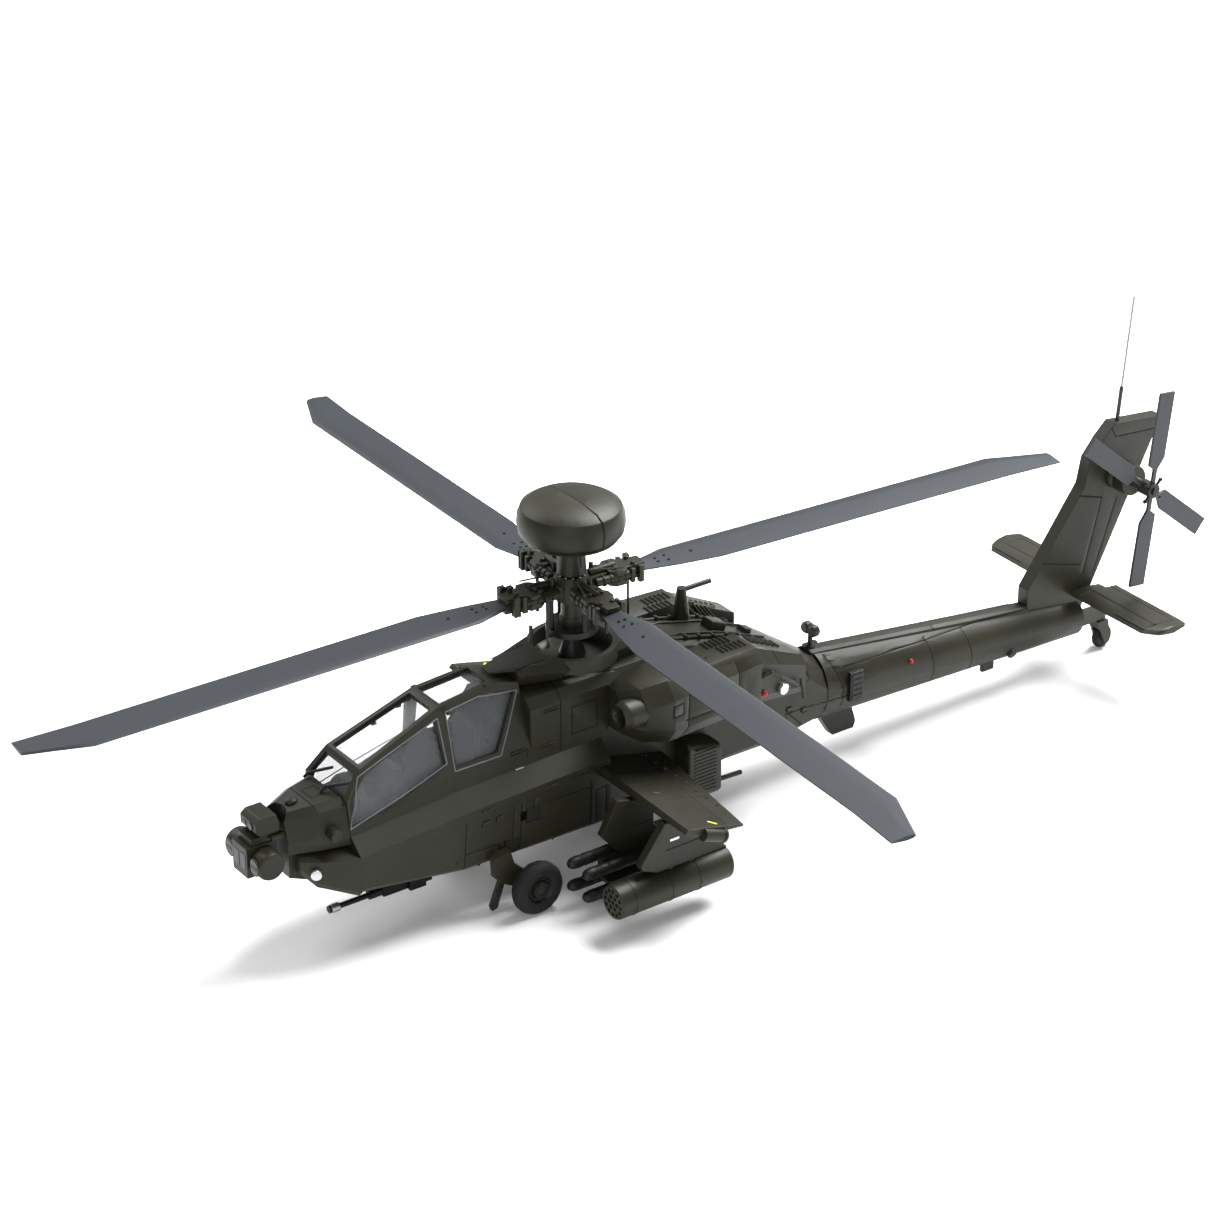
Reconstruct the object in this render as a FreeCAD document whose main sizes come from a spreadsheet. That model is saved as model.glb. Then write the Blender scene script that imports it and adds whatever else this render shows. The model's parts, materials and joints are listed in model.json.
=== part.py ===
import FreeCAD, Part
import math
import os
import re
import Sketcher

# Display helicopter, 1:72, millimetres.  While it is modelled the nose points to -Y,
# port is +X, the rotor mast stands on X = Y = 0 and the wheels touch Z = 0.
# export() moves every piece so that the origin lies under the middle of the whole.

os.makedirs("parts", exist_ok=True)
doc = FreeCAD.newDocument("helicopter")
V = FreeCAD.Vector
Z_AXIS = V(0, 0, 1)
X_AXIS = V(1, 0, 0)
Y_AXIS = V(0, 1, 0)

SIZES = {
    # shell
    "hull_half": 7.5, "hull_wall": 1.0, "bilge": 2.2, "nose_y": -60.5, "nose_root_y": -50.4,
    "cockpit_end_y": -14.0, "tail_root_y": 52.0, "boom_end_y": 118.0, "belly_front_z": 12.0,
    "belly_mid_z": 8.6, "belly_mast_z": 8.0, "belly_aft_z": 9.6, "belly_root_z": 8.6, "sill_front_z": 23.0,
    "sill_mid_z": 27.0, "sill_rear_z": 27.5, "sill_mid_y": -29.0, "shoulder_z": 34.6, "shoulder_half": 6.2,
    "deck_z": 37.0, "deck_half": 4.6, "deck_end_y": 19.0, "deck_drop_y": 41.0, "deck_drop_z": 29.5,
    "boom_root_r": 6.9, "boom_root_z": 15.6, "boom_end_r": 3.75, "boom_end_z": 9.5, "ridge_half": 1.7,
    "ridge_rise": 0.5,
    # front
    "nose_front_half": 4.2, "nose_top_z": 28.8, "nose_front_top_z": 27.6, "alcove_r": 3.3,
    "nose_step_z": 21.0, "nose_front_low_z": 16.4, "shelf_half": 2.2, "shelf_front_y": -66.4,
    "shelf_low_z": 23.7, "shelf_top_z": 24.9, "keel_half": 4.0, "chin_y": -59.2, "chin_low_z": 17.4,
    "chin_top_z": 20.8, "chin_front_half": 5.8, "chin_full_y": -56.8, "chin_full_half": 7.8,
    "chin_full_low_z": 14.6, "chin_slant": 0.9, "bay_half": 10.6, "bay_rear_y": 0.6, "bay_top_z": 19.6,
    "bay_slant": 2.8, "bay_low_gap": 0.6,
    # cockpit
    "tub_gap": 0.15, "tub_wall": 0.8, "tub_floor_z": 17.6, "tub_front_y": -48.6, "tub_rear_y": -16.4,
    "seat_width": 6.4, "seat_depth": 6.0, "seat_back": 9.5, "seat_thick": 1.4, "gunner_seat_y": -37.5,
    "pilot_seat_y": -21.5, "gunner_seat_z": 20.0, "pilot_seat_z": 22.6, "panel_thick": 1.6,
    "panel_width": 9.6, "gunner_panel_y": -46.6, "pilot_panel_y": -31.4, "canopy_wall": 0.75,
    "glass_wall": 0.45, "screen_half": 6.7, "screen_z": 28.9, "screen_top_y": -46.9, "screen_top_half": 5.3,
    "screen_top_z": 33.3, "brow_y": -30.4, "brow_half": 4.3, "brow_z": 39.4, "crest_y": -19.6,
    "crest_half": 3.9, "crest_z": 40.4, "roof_end_z": 38.8, "window_bar": 1.15,
    # rotor head
    "fairing_front_y": -18.2, "fairing_rear_y": 10.5, "fairing_half": 8.0, "fairing_nose_half": 2.6,
    "fairing_top_z": 40.9, "well_radius": 7.0, "spindle_r": 1.3, "spindle_foot_r": 2.4, "turn_gap": 0.05,
    "spindle_foot_z": 16.0, "hub_z": 51.7, "hub_height": 4.4, "hub_radius": 3.3, "arm_reach": 6.4,
    "arm_width": 3.4, "arm_height": 2.0, "sleeve_r": 2.2, "sleeve_low_z": 42.4, "plate_r": 4.6,
    "plate_height": 1.1, "plate_z": 43.2, "grip_end": 13.0, "grip_width": 3.6, "grip_height": 2.8,
    "blade_gap": 0.9, "link_r": 0.45, "link_x": 4.1, "rotor_radius": 101.6, "blade_root_r": 13.0,
    "blade_full_r": 28.0, "blade_kink_r": 90.8, "blade_chord": 8.2, "blade_thick": 0.9,
    "blade_root_chord": 4.2, "blade_nose": 3.7, "blade_cuff_r": 20.0, "blade_tip_nose": -0.4,
    "blade_tip_sweep": 0.5, "blade_edge": 0.12, "rotor_turn": -4.2, "flap_gap": 0.1, "flap_1": 1.4,
    "flap_2": 0.0, "flap_3": -2.8, "flap_4": -2.1, "radome_r": 9.4, "radome_z": 59.6, "radome_height": 8.6,
    "radome_top_r": 7.2, "radome_foot_r": 2.6, "radome_seat_z": 54.2, "radome_waist": 3.2,
    # engines
    "nacelle_front_y": 4.6, "nacelle_full_y": 9.5, "nacelle_rear_y": 29.5, "nacelle_outer": 17.4,
    "nacelle_low_z": 24.4, "nacelle_top_z": 36.4, "nacelle_corner": 3.0, "exhaust_rear_y": 41.2,
    "exhaust_outer": 13.6, "exhaust_low_z": 23.0, "exhaust_top_z": 30.4, "intake_r": 2.65, "intake_x": 13.4,
    "intake_z": 31.4, "intake_length": 4.4, "intake_mouth": 1.5,
    # wings and stores
    "wing_root_y": -2.0, "wing_sweep": -0.4, "wing_tip_x": 36.3, "wing_chord": 16.0, "wing_tip_chord": 12.4,
    "wing_root_z": 21.0, "wing_drop": 0.3, "wing_fall": 3.6, "wing_thick": 2.2, "tip_thick": 1.3,
    "tip_light_r": 1.25, "tip_light_length": 4.6, "inner_x": 19.8, "outer_x": 29.6, "pylon_width": 1.6,
    "pylon_sweep": 5.4, "pylon_length": 9.4, "pylon_drop": 5.0, "pod_r": 3.1, "pod_length": 24.0,
    "pod_front_y": -12.6, "pod_z": 7.0, "rack_z": 6.5, "tube_r": 0.38, "tube_depth": 2.0, "tube_ring": 1.15,
    "missile_r": 1.1, "missile_length": 21.6, "missile_front_y": -13.4, "missile_half_x": 2.3,
    "missile_half_z": 2.25, "rail_height": 0.8, "rack_width": 3.4, "fin_span": 0.8, "fin_plate": 0.3,
    # undercarriage
    "wheel_r": 4.9, "wheel_width": 3.2, "wheel_x": 15.2, "wheel_y": -18.3, "rim_r": 2.5, "axle_r": 0.85,
    "leg_x": 11.0, "leg_thick": 1.6, "trunnion_y": -23.5, "trunnion_z": 11.0, "trunnion_r": 1.0,
    "tail_wheel_r": 2.35, "tail_wheel_y": 126.6, "tail_wheel_width": 1.5, "fork_gap": 0.25, "fork_arm": 0.6,
    "fork_pin_r": 0.5, "fork_top_z": 6.6, "bracket_low_z": 6.9, "bracket_top_z": 8.9, "castor_lead": 1.6,
    # tail
    "fin_half": 1.4, "fin_low_y": 105.0, "fin_low_z": 11.4, "fin_shoulder_z": 19.3, "fin_knee_y": 118.2,
    "fin_knee_z": 37.6, "fin_top_y": 125.0, "fin_top_z": 49.0, "fin_tip_y": 137.2, "fin_tip_z": 47.6,
    "fin_rear_y": 121.6, "fin_rear_z": 16.0, "gear_head_y": 126.9, "gear_head_z": 38.0, "gear_head_r": 3.0,
    "gear_head_x": 5.6, "tail_hub_x": 9.6, "tail_hub_r": 1.5, "tail_pin_r": 0.6, "tail_radius": 19.8,
    "tail_root": 5.2, "tail_chord": 3.7, "tail_thick": 0.55, "tail_first": 83.5, "tail_second": 140.3,
    "tail_layer": 1.6, "stab_half": 24.0, "stab_pivot_y": 119.0, "stab_z": 15.4, "stab_front_y": 115.6,
    "stab_rear_y": 125.6, "stab_thick": 1.5, "stab_gap": 0.35, "spar_r": 0.5, "whip_r": 0.4,
    "whip_height": 25.4, "whip_y": 126.7, "whip_step": 7.2, "whip_lean": 0.09,
    # sensors and gun
    "drum_r": 2.6, "drum_half": 5.9, "drum_y": -64.6, "drum_z": 20.8, "drum_pin_r": 1.0,
    "turret_pin_r": 1.1, "yoke_half": 2.4, "yoke_reach": 2.9, "seat_gap": 0.1, "night_half": 2.6,
    "night_height": 3.4, "night_front": 3.6, "night_rear": 1.0, "night_y": -62.0, "night_pin_r": 0.8,
    "mount_y": -34.0, "mount_r": 3.6, "mount_height": 1.6, "gun_z": 4.6, "gun_front_y": -50.6, "gun_r": 0.5,
    "gun_body": 12.0, "gun_width": 2.0, "gun_pin_r": 0.5, "gun_cheek": 0.8, "sensor_y": 53.0,
    "sensor_z": 26.6, "sensor_r": 1.15, "stalk_r": 0.45, "pitot_x": -4.0, "pitot_y": 26.5,
    "pitot_height": 5.8, "pitot_r": 1.05, "pitot_rod": 7.0, "strake_front_y": 52.6, "strake_length": 11.0,
    "strake_drop": 5.6, "strake_half": 1.1, "box_front_y": 16.6, "box_rear_y": 24.0, "box_outer": 12.0,
    "box_low_z": 7.6, "box_high_z": 19.8, "box_fall": 2.0,
    # hidden structure
    "chassis_z": 14.0, "chassis_thick": 1.6, "chassis_front_y": -11.5, "chassis_rear_y": 26.0,
    "chassis_gap": 0.2, "socket_y": 13.0, "socket_r": 2.0, "socket_boss_r": 3.6, "socket_depth": 8.0,
    "screw_r": 0.7, "screw_head_r": 1.3, "screw_head": 0.8, "screw_length": 9.0, "screw_front_y": -44.0,
    "screw_mid_y": 30.0, "screw_rear_y": 46.0,
}

sheet = doc.addObject("Spreadsheet::Sheet", "sizes")


def fill_sheet():
    for row, (alias, value) in enumerate(SIZES.items(), start=1):
        sheet.set("A%d" % row, alias)
        sheet.set("B%d" % row, repr(value))
        sheet.setAlias("B%d" % row, alias)
    doc.recompute()


fill_sheet()


def bound(text):
    """A formula of plain names, written as the sheet's own references."""
    def refer(word):
        return "sizes." + word[0] if word[0] in SIZES else word[0]
    return re.sub(r"[a-z][a-z_]*", refer, str(text))


def size(text):
    """The present value of a name or formula."""
    return float(sheet.evalExpression(bound(text)))


def bind(thing, prop, text):
    thing.setExpression(prop, bound(text))


def solid(kind, name, at=("0", "0", "0"), **sizes):
    thing = doc.addObject("Part::" + kind, name)
    for prop, text in sizes.items():
        bind(thing, prop, text)
    for axis, text in zip("xyz", at):
        bind(thing, "Placement.Base." + axis, text)
    return thing


def box(name, low, high):
    """A block between two corners."""
    spans = ["(%s) - (%s)" % (b, a) for a, b in zip(low, high)]
    return solid("Box", name, low, Length=spans[0], Width=spans[1], Height=spans[2])


def rod(name, at, radius, length, axis=Z_AXIS):
    """A round bar that starts at a point and runs along an axis."""
    bar = solid("Cylinder", name, at, Radius=radius, Height=length)
    bar.Placement = FreeCAD.Placement(bar.Placement.Base, FreeCAD.Rotation(Z_AXIS, axis))
    return bar


def fused(name, *pieces):
    whole = doc.addObject("Part::MultiFuse", name)
    whole.Shapes = list(pieces)
    return whole


def cut(name, base, *tools):
    tool = tools[0] if len(tools) == 1 else fused(name + "_tools", *tools)
    result = doc.addObject("Part::Cut", name)
    result.Base = base
    result.Tool = tool
    return result


def group(name, *pieces):
    several = doc.addObject("Part::Compound", name)
    several.Links = list(pieces)
    return several


def mirrored(name, source):
    twin = doc.addObject("Part::Mirroring", name)
    twin.Source = source
    twin.Normal = X_AXIS
    return twin


def shaped(name, shape):
    """A sub-part whose shape comes from lofts; its sizes are read from the sheet."""
    feature = doc.addObject("Part::Feature", name)
    feature.Shape = shape
    return feature


def loft(sections):
    rings = [Part.makePolygon([V(*point) for point in ring] + [V(*ring[0])]) for ring in sections]
    return Part.makeLoft(rings, True, True)


def block(low, high):
    spans = [b - a for a, b in zip(low, high)]
    return Part.makeBox(*spans, V(*low))


def body(name):
    return doc.addObject("PartDesign::Body", name)


def flat(owner, role, name, away="0"):
    """An empty sketch on one of the body's own origin planes."""
    drawing = owner.newObject("Sketcher::SketchObject", name)
    plane = [item for item in owner.Origin.OriginFeatures if item.Role == role][0]
    drawing.AttachmentSupport = [(plane, "")]
    drawing.MapMode = "FlatFace"
    bind(drawing, "AttachmentOffset.Base.z", away)
    return drawing


def outline(owner, role, name, corners, away="0"):
    """A closed outline whose corners are tied to the sheet."""
    drawing = flat(owner, role, name, away)
    places = [V(size(across), size(up), 0) for across, up in corners]
    count = len(corners)
    for index in range(count):
        drawing.addGeometry(Part.LineSegment(places[index], places[(index + 1) % count]))
    for index in range(count):
        drawing.addConstraint(Sketcher.Constraint("Coincident", index, 2, (index + 1) % count, 1))
    for index, (across, up) in enumerate(corners):
        for kind, value, text in (("DistanceX", places[index].x, across),
                                  ("DistanceY", places[index].y, up)):
            number = drawing.addConstraint(Sketcher.Constraint(kind, -1, 1, index, 1, value))
            bind(drawing, "Constraints[%d]" % number, text)
    return drawing


def circles(owner, role, name, rings, away="0"):
    """One or more circles tied to the sheet, each (across, up, radius)."""
    drawing = flat(owner, role, name, away)
    for index, (across, up, radius) in enumerate(rings):
        centre = V(size(across), size(up), 0)
        drawing.addGeometry(Part.Circle(centre, Z_AXIS, size(radius)))
        ties = (("DistanceX", centre.x, across), ("DistanceY", centre.y, up))
        for kind, value, text in ties:
            number = drawing.addConstraint(Sketcher.Constraint(kind, -1, 1, index, 3, value))
            bind(drawing, "Constraints[%d]" % number, text)
        number = drawing.addConstraint(Sketcher.Constraint("Radius", index, size(radius)))
        bind(drawing, "Constraints[%d]" % number, radius)
    return drawing


def pad(owner, drawing, length, middle=False):
    feature = owner.newObject("PartDesign::Pad", drawing.Name + "_pad")
    feature.Profile = drawing
    bind(feature, "Length", length)
    if middle:
        feature.SideType = "Symmetric"
    return feature


def pocket(owner, drawing, length, back=False):
    doc.recompute()
    before = owner.Shape.Volume
    feature = owner.newObject("PartDesign::Pocket", drawing.Name + "_pocket")
    feature.Profile = drawing
    bind(feature, "Length", length)
    feature.Reversed = back
    doc.recompute()
    if owner.Shape.Volume >= before:
        raise RuntimeError(drawing.Name + " cuts nothing")
    return feature


def spun(owner, drawing, axis="V_Axis"):
    feature = owner.newObject("PartDesign::Revolution", drawing.Name + "_turn")
    feature.Profile = drawing
    feature.ReferenceAxis = (drawing, [axis])
    feature.Angle = 360
    return feature


def around(owner, features, role, count):
    pattern = owner.newObject("PartDesign::PolarPattern", features[0].Name + "_ring")
    pattern.Originals = features
    pattern.Axis = ([item for item in owner.Origin.OriginFeatures if item.Role == role][0], [""])
    pattern.Angle = 360
    pattern.Occurrences = count
    owner.Tip = pattern
    return pattern


def put(thing, x="0", y="0", z="0", rotation=None):
    """Sets a body down; the place follows the sheet."""
    if rotation:
        thing.Placement = FreeCAD.Placement(V(0, 0, 0), rotation)
    for axis, text in zip("xyz", (x, y, z)):
        bind(thing, "Placement.Base." + axis, text)
    return thing


# ---------------------------------------------------------------- hull

def hull_ring(y, low, side, shoulder, shoulder_half, top, top_half, half, shrink=0.0):
    """Twelve corners of one frame of the hull, drawn in by shrink for the inside."""
    s = shrink
    bilge = size("bilge")
    port = [(half - bilge - s * 0.4, low + s), (half - s, low + bilge + s * 0.4), (half - s, side),
            (half - s, shoulder), (shoulder_half - s * 0.8, top - (top - shoulder) * 0.25 - s * 0.7),
            (top_half - s * 0.4, top - s)]
    ring = [(x, y, z) for x, z in port] + [(-x, y, z) for x, z in reversed(port)]
    return ring


def round_ring(y, radius, centre, squash=1.0):
    """The hull's last frame, where it meets the round boom."""
    angles = [-64, -32, -8, 14, 44, 70]
    port = [(radius * squash * math.cos(math.radians(a)), centre + radius * math.sin(math.radians(a)))
            for a in angles]
    return [(x, y, z) for x, z in port] + [(-x, y, z) for x, z in reversed(port)]


def aft_rings(shrink):
    half = size("hull_half")
    deck, deck_half = size("deck_z"), size("deck_half")
    shoulder, shoulder_half = size("shoulder_z"), size("shoulder_half")
    drop_y, drop_z = size("deck_drop_y"), size("deck_drop_z")
    end = size("deck_end_y")
    rings = []
    for y, low in ((size("cockpit_end_y"), size("belly_mast_z + 0.2")), (end, size("belly_mast_z + 0.8"))):
        rings.append(hull_ring(y, low, 20, shoulder, shoulder_half, deck, deck_half, half, shrink))
    middle = (end + drop_y) / 2
    fall = (deck * 0.62 + drop_z * 0.38)
    rings.append(hull_ring(middle, size("belly_aft_z"), 20, fall - 3.6, shoulder_half, fall, deck_half,
                           half, shrink))
    rings.append(hull_ring(drop_y, size("belly_aft_z - 0.3"), 18, drop_z - 3.4, 5.4, drop_z, 3.6, 7.2,
                           shrink))
    root = size("tail_root_y")
    rings.append(round_ring(root, size("boom_root_r") - shrink, size("boom_root_z")))
    return rings


def forward_rings(shrink, rise=0.0):
    half = size("hull_half")
    frames = ((size("nose_root_y"), size("belly_front_z"), size("sill_front_z")),
              (size("sill_mid_y"), size("belly_mid_z + 0.3"), size("sill_mid_z")),
              (size("cockpit_end_y"), size("belly_mast_z + 0.2"), size("sill_rear_z")))
    rings = []
    for y, low, sill in frames:
        top = sill + rise
        s = shrink
        bilge = size("bilge")
        port = [(half - bilge - s * 0.4, low + s), (half - s, low + bilge + s * 0.4), (half - s, top)]
        rings.append([(x, y, z) for x, z in port] + [(-x, y, z) for x, z in reversed(port)])
    return rings


def boom_solid(shrink):
    start = V(0, size("tail_root_y"), size("boom_root_z"))
    finish = V(0, size("boom_end_y"), size("boom_end_z"))
    run = finish - start
    return Part.makeCone(size("boom_root_r") - shrink, size("boom_end_r") - shrink, run.Length, start, run)


def ridge_solid():
    """Drive-shaft cover along the top of the boom."""
    half, rise = size("ridge_half"), size("ridge_rise")
    rings = []
    for y, radius, centre in ((size("tail_root_y"), size("boom_root_r"), size("boom_root_z")),
                              (size("fin_low_y"), size("boom_root_r - (boom_root_r - boom_end_r) * 0.768"),
                               size("boom_root_z - (boom_root_z - boom_end_z) * 0.768"))):
        top = centre + radius + rise
        rings.append([(half, y, centre), (half, y, top - 0.4), (half * 0.6, y, top), (-half * 0.6, y, top),
                      (-half, y, top - 0.4), (-half, y, centre)])
    return loft(rings)


def hull_solid():
    wall = size("hull_wall")
    outer = loft(forward_rings(0)).fuse([loft(aft_rings(0)), boom_solid(0), ridge_solid()]).removeSplitter()
    front = loft([[(x, y, z) for x, y, z in ring] for ring in forward_rings(wall, 3.0)])
    front = front.common(block((-20, size("nose_root_y") + wall, 0), (20, size("cockpit_end_y"), 60)))
    low = block((-20, size("cockpit_end_y") - 1, 0),
                (20, size("cockpit_end_y") + wall, size("sill_rear_z")))
    aft_inside = loft(aft_rings(wall))
    passage = aft_inside.common(low)
    aft = aft_inside.common(block((-20, size("cockpit_end_y") + wall, 0),
                                  (20, size("tail_root_y") - 4, 60)))
    return outer.cut([front, passage, aft])


def hull_openings():
    """Holes for the spindle, the stand boss, the trunnions, the gun pin and the screws."""
    half = size("hull_half")
    boss = Part.makeCylinder(size("socket_boss_r"), 12, V(0, size("socket_y"), 0), Z_AXIS)
    mast = Part.makeCylinder(size("spindle_foot_r"), 10, V(0, 0, size("deck_z") - 4), Z_AXIS)
    trunnion = Part.makeCylinder(size("trunnion_r"), 2 * half + 2,
                                 V(-half - 1, size("trunnion_y"), size("trunnion_z")), X_AXIS)
    gun = Part.makeCylinder(size("gun_pin_r * 2 + turn_gap"), 6, V(0, size("mount_y"), 6), Z_AXIS)
    return [boss, mast, trunnion, gun]


def screw_places():
    return [(size("screw_front_y"), size("belly_front_z + 2.4")),
            (size("screw_mid_y"), size("belly_aft_z + 2.6")),
            (size("screw_rear_y"), size("boom_root_z"))]


def screw_bosses():
    """A pair of posts across the shell at each screw."""
    posts = []
    for y, z in screw_places():
        posts.append(Part.makeCylinder(size("screw_head_r + 0.5"), 2 * size("hull_half") - 1.2,
                                       V(-size("hull_half") + 0.6, y, z), X_AXIS))
    return posts


def screw_holes():
    holes = []
    half, length = size("hull_half"), size("screw_length")
    for y, z in screw_places():
        head = V(-half, y, z)
        holes.append(Part.makeCylinder(size("screw_head_r"), size("screw_head"), head, X_AXIS))
        holes.append(Part.makeCylinder(size("screw_r"), length, head, X_AXIS))
    return holes


def fuselage_halves():
    whole = hull_solid()
    inside = [post.common(loft(forward_rings(0.5)).fuse(loft(aft_rings(0.5)))) for post in screw_bosses()]
    whole = whole.fuse(inside).cut(hull_openings() + screw_holes())
    for name, low in (("fuselage_left", 0.0), ("fuselage_right", -30.0)):
        half = whole.common(block((low, -80, 0), (low + 30, 160, 80)))
        largest = max(half.Solids, key=lambda piece: piece.Volume)
        shaped(name, largest)


def fuselage_screws():
    screws = []
    half = size("hull_half")
    for y, z in screw_places():
        head = Part.makeCylinder(size("screw_head_r"), size("screw_head"), V(-half, y, z), X_AXIS)
        shank = Part.makeCylinder(size("screw_r"), size("screw_length"), V(-half, y, z), X_AXIS)
        slot = block((-half - 1, y - 0.15, z - 0.9), (-half + 0.35, y + 0.15, z + 0.9))
        screws.append(head.fuse(shank).removeSplitter().cut(slot))
    shaped("fuselage_screws", Part.makeCompound(screws))


def belly_chassis():
    """Inner tray with the spindle seat and the socket for a display stand."""
    reach = "hull_half - hull_wall - chassis_gap"
    tray = box("chassis_tray", ("-(%s)" % reach, "chassis_front_y", "chassis_z"),
               (reach, "chassis_rear_y", "chassis_z + chassis_thick"))
    boss = rod("socket_boss", ("0", "socket_y", "belly_mast_z + 0.6"), "socket_boss_r",
               "chassis_z + chassis_thick - belly_mast_z - 0.6")
    seat = rod("spindle_seat", ("0", "0", "chassis_z"), "spindle_foot_r + 1.2",
               "spindle_foot_z - chassis_z + 3")
    bore = rod("socket_bore", ("0", "socket_y", "belly_mast_z + 0.6"), "socket_r",
               "chassis_z + chassis_thick - belly_mast_z - 1.4")
    hole = rod("spindle_hole", ("0", "0", "spindle_foot_z"), "spindle_foot_r", "6")
    cut("belly_chassis", fused("chassis_blank", tray, boss, seat), bore, hole)


# ---------------------------------------------------------------- nose and cheeks

def nose_fairing():
    keel, step = size("keel_half"), size("nose_step_z")
    rings = []
    frames = ((size("nose_y"), size("nose_front_half"), size("nose_front_low_z"), size("nose_front_top_z")),
              (size("nose_y + 5"), size("nose_front_half + 1.9"), size("nose_front_low_z - 2.2"),
               size("nose_front_top_z + 0.9")),
              (size("nose_root_y"), size("screen_half + 0.6"), size("belly_front_z"), size("nose_top_z")))
    for y, half, low, top in frames:
        port = [(keel, low), (keel, step - 0.2), (half, step), (half, step + 2.2), (half - 1.2, top - 0.9),
                (half - 2.6, top)]
        rings.append([(x, y, z) for x, z in port] + [(-x, y, z) for x, z in reversed(port)])
    shelf = block((-size("shelf_half"), size("shelf_front_y"), size("shelf_low_z")),
                  (size("shelf_half"), size("nose_y + 1"), size("shelf_top_z")))
    bores = [Part.makeCylinder(size(radius), 3, V(0, size(y), size("shelf_low_z") - 0.5), Z_AXIS)
             for radius, y in (("turret_pin_r + turn_gap", "drum_y"),
                               ("night_pin_r + turn_gap", "night_y"))]
    alcove = Part.makeCylinder(size("alcove_r"), 9, V(0, size("night_y"), size("shelf_top_z")), Z_AXIS)
    shaped("nose_fairing", loft(rings).fuse(shelf).removeSplitter().cut(bores + [alcove]))


def cheek_ring(y, low, top, outer, inner, slant):
    return [(inner, y, low), (outer - 1.2, y, low), (outer, y, low + 1.2), (outer, y, top - slant),
            (inner, y, top)]


def chin_fairings():
    keel = size("keel_half")
    slant = size("chin_slant")
    front = cheek_ring(size("chin_y"), size("chin_low_z"), size("chin_top_z"), size("chin_front_half"),
                       keel, slant)
    full = cheek_ring(size("chin_full_y"), size("chin_full_low_z"), size("chin_top_z"),
                      size("chin_full_half"), keel, slant)
    rear = cheek_ring(size("nose_root_y"), size("belly_front_z"), size("nose_step_z - 0.3"),
                      size("bay_half"), keel, slant)
    port = shaped("chin_fairing_port", loft([front, full, rear]))
    group("chin_fairings", port, mirrored("chin_fairing_starboard", port))


def bay_rings():
    half, outer, gap = size("hull_half"), size("bay_half"), size("bay_low_gap")
    frames = ((size("nose_root_y"), size("belly_front_z + bay_low_gap"), size("nose_step_z + 1.6")),
              (size("sill_mid_y"), size("belly_mid_z + 0.3 + bay_low_gap"), size("bay_top_z + 4.4")),
              (size("bay_rear_y"), size("belly_mast_z + 0.4 + bay_low_gap"), size("bay_top_z + 5.2")))
    return [cheek_ring(y, low, top, outer, half, size("bay_slant")) for y, low, top in frames]


def avionics_bays():
    """Long equipment bays along both flanks, with a boarding step let into each."""
    outer = size("bay_half")
    shape = loft(bay_rings())
    trunnion = Part.makeCylinder(size("trunnion_r"), 8,
                                 V(size("hull_half - 1"), size("trunnion_y"), size("trunnion_z")),
                                 X_AXIS)
    step = block((outer - 1.4, -18.4, 15.8), (outer + 1, -16.2, 17.6))
    low_step = block((outer - 1.4, -21.2, 10.0), (outer + 1, -19.2, 11.4))
    port = shaped("avionics_bay_left", shape.cut([trunnion, step, low_step]))
    mirrored("avionics_bay_right", port)


def equipment_boxes():
    """Grilled cooling boxes behind the wing roots."""
    half = size("hull_half")
    outer = size("box_outer")
    front, rear = size("box_front_y"), size("box_rear_y")
    low = size("box_low_z")
    rings = [[(half, y, low), (outer - 1, y, low), (outer, y, low + 1), (outer, y, high - 0.8),
              (outer - 0.8, y, high), (half, y, high)]
             for y, high in ((front, size("box_high_z")), (rear, size("box_high_z - box_fall")))]
    port = shaped("equipment_box_port", loft(rings))
    group("equipment_boxes", port, mirrored("equipment_box_starboard", port))


# ---------------------------------------------------------------- cockpit

def cockpit_tub():
    reach = "hull_half - hull_wall - tub_gap"
    outer = box("tub_outer", ("-(%s)" % reach, "tub_front_y", "tub_floor_z"),
                (reach, "tub_rear_y", "sill_front_z - 0.4"))
    rear = box("tub_rear", ("-(%s)" % reach, "pilot_panel_y - 0.6", "tub_floor_z"),
               (reach, "tub_rear_y", "sill_mid_z - 1.6"))
    inside = box("tub_inside", ("-(%s) + tub_wall" % reach, "tub_front_y + tub_wall",
                                "tub_floor_z + tub_wall"),
                 ("(%s) - tub_wall" % reach, "pilot_panel_y + panel_thick", "sill_mid_z"))
    step = box("tub_step", ("-(%s) + tub_wall" % reach, "pilot_panel_y + panel_thick - 0.1",
                            "pilot_seat_z - 3"),
               ("(%s) - tub_wall" % reach, "tub_rear_y - tub_wall", "sill_mid_z + 2"))
    cut("cockpit_tub", fused("tub_blank", outer, rear), inside, step)


def crew_seats():
    seats = []
    for name, y, z in (("gunner_seat", "gunner_seat_y", "gunner_seat_z"),
                       ("pilot_seat", "pilot_seat_y", "pilot_seat_z")):
        seat = body(name)
        profile = outline(seat, "YZ_Plane", name + "_side", (
            ("0", "0"), ("0", "seat_back"), ("-seat_thick", "seat_back"), ("-seat_thick", "seat_thick"),
            ("-seat_depth", "seat_thick"), ("-seat_depth", "0")))
        pad(seat, profile, "seat_width", middle=True)
        seats.append(put(seat, y=y, z=z))
    feet = [box("gunner_seat_foot", ("-1.6", "gunner_seat_y - 4.4", "tub_floor_z + tub_wall"),
                ("1.6", "gunner_seat_y - 1", "gunner_seat_z")),
            box("pilot_seat_foot", ("-1.6", "pilot_seat_y - 4.4", "pilot_seat_z - 3"),
                ("1.6", "pilot_seat_y - 1", "pilot_seat_z"))]
    group("crew_seats", fused("gunner_seat_whole", seats[0], feet[0]),
          fused("pilot_seat_whole", seats[1], feet[1]))


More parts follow.
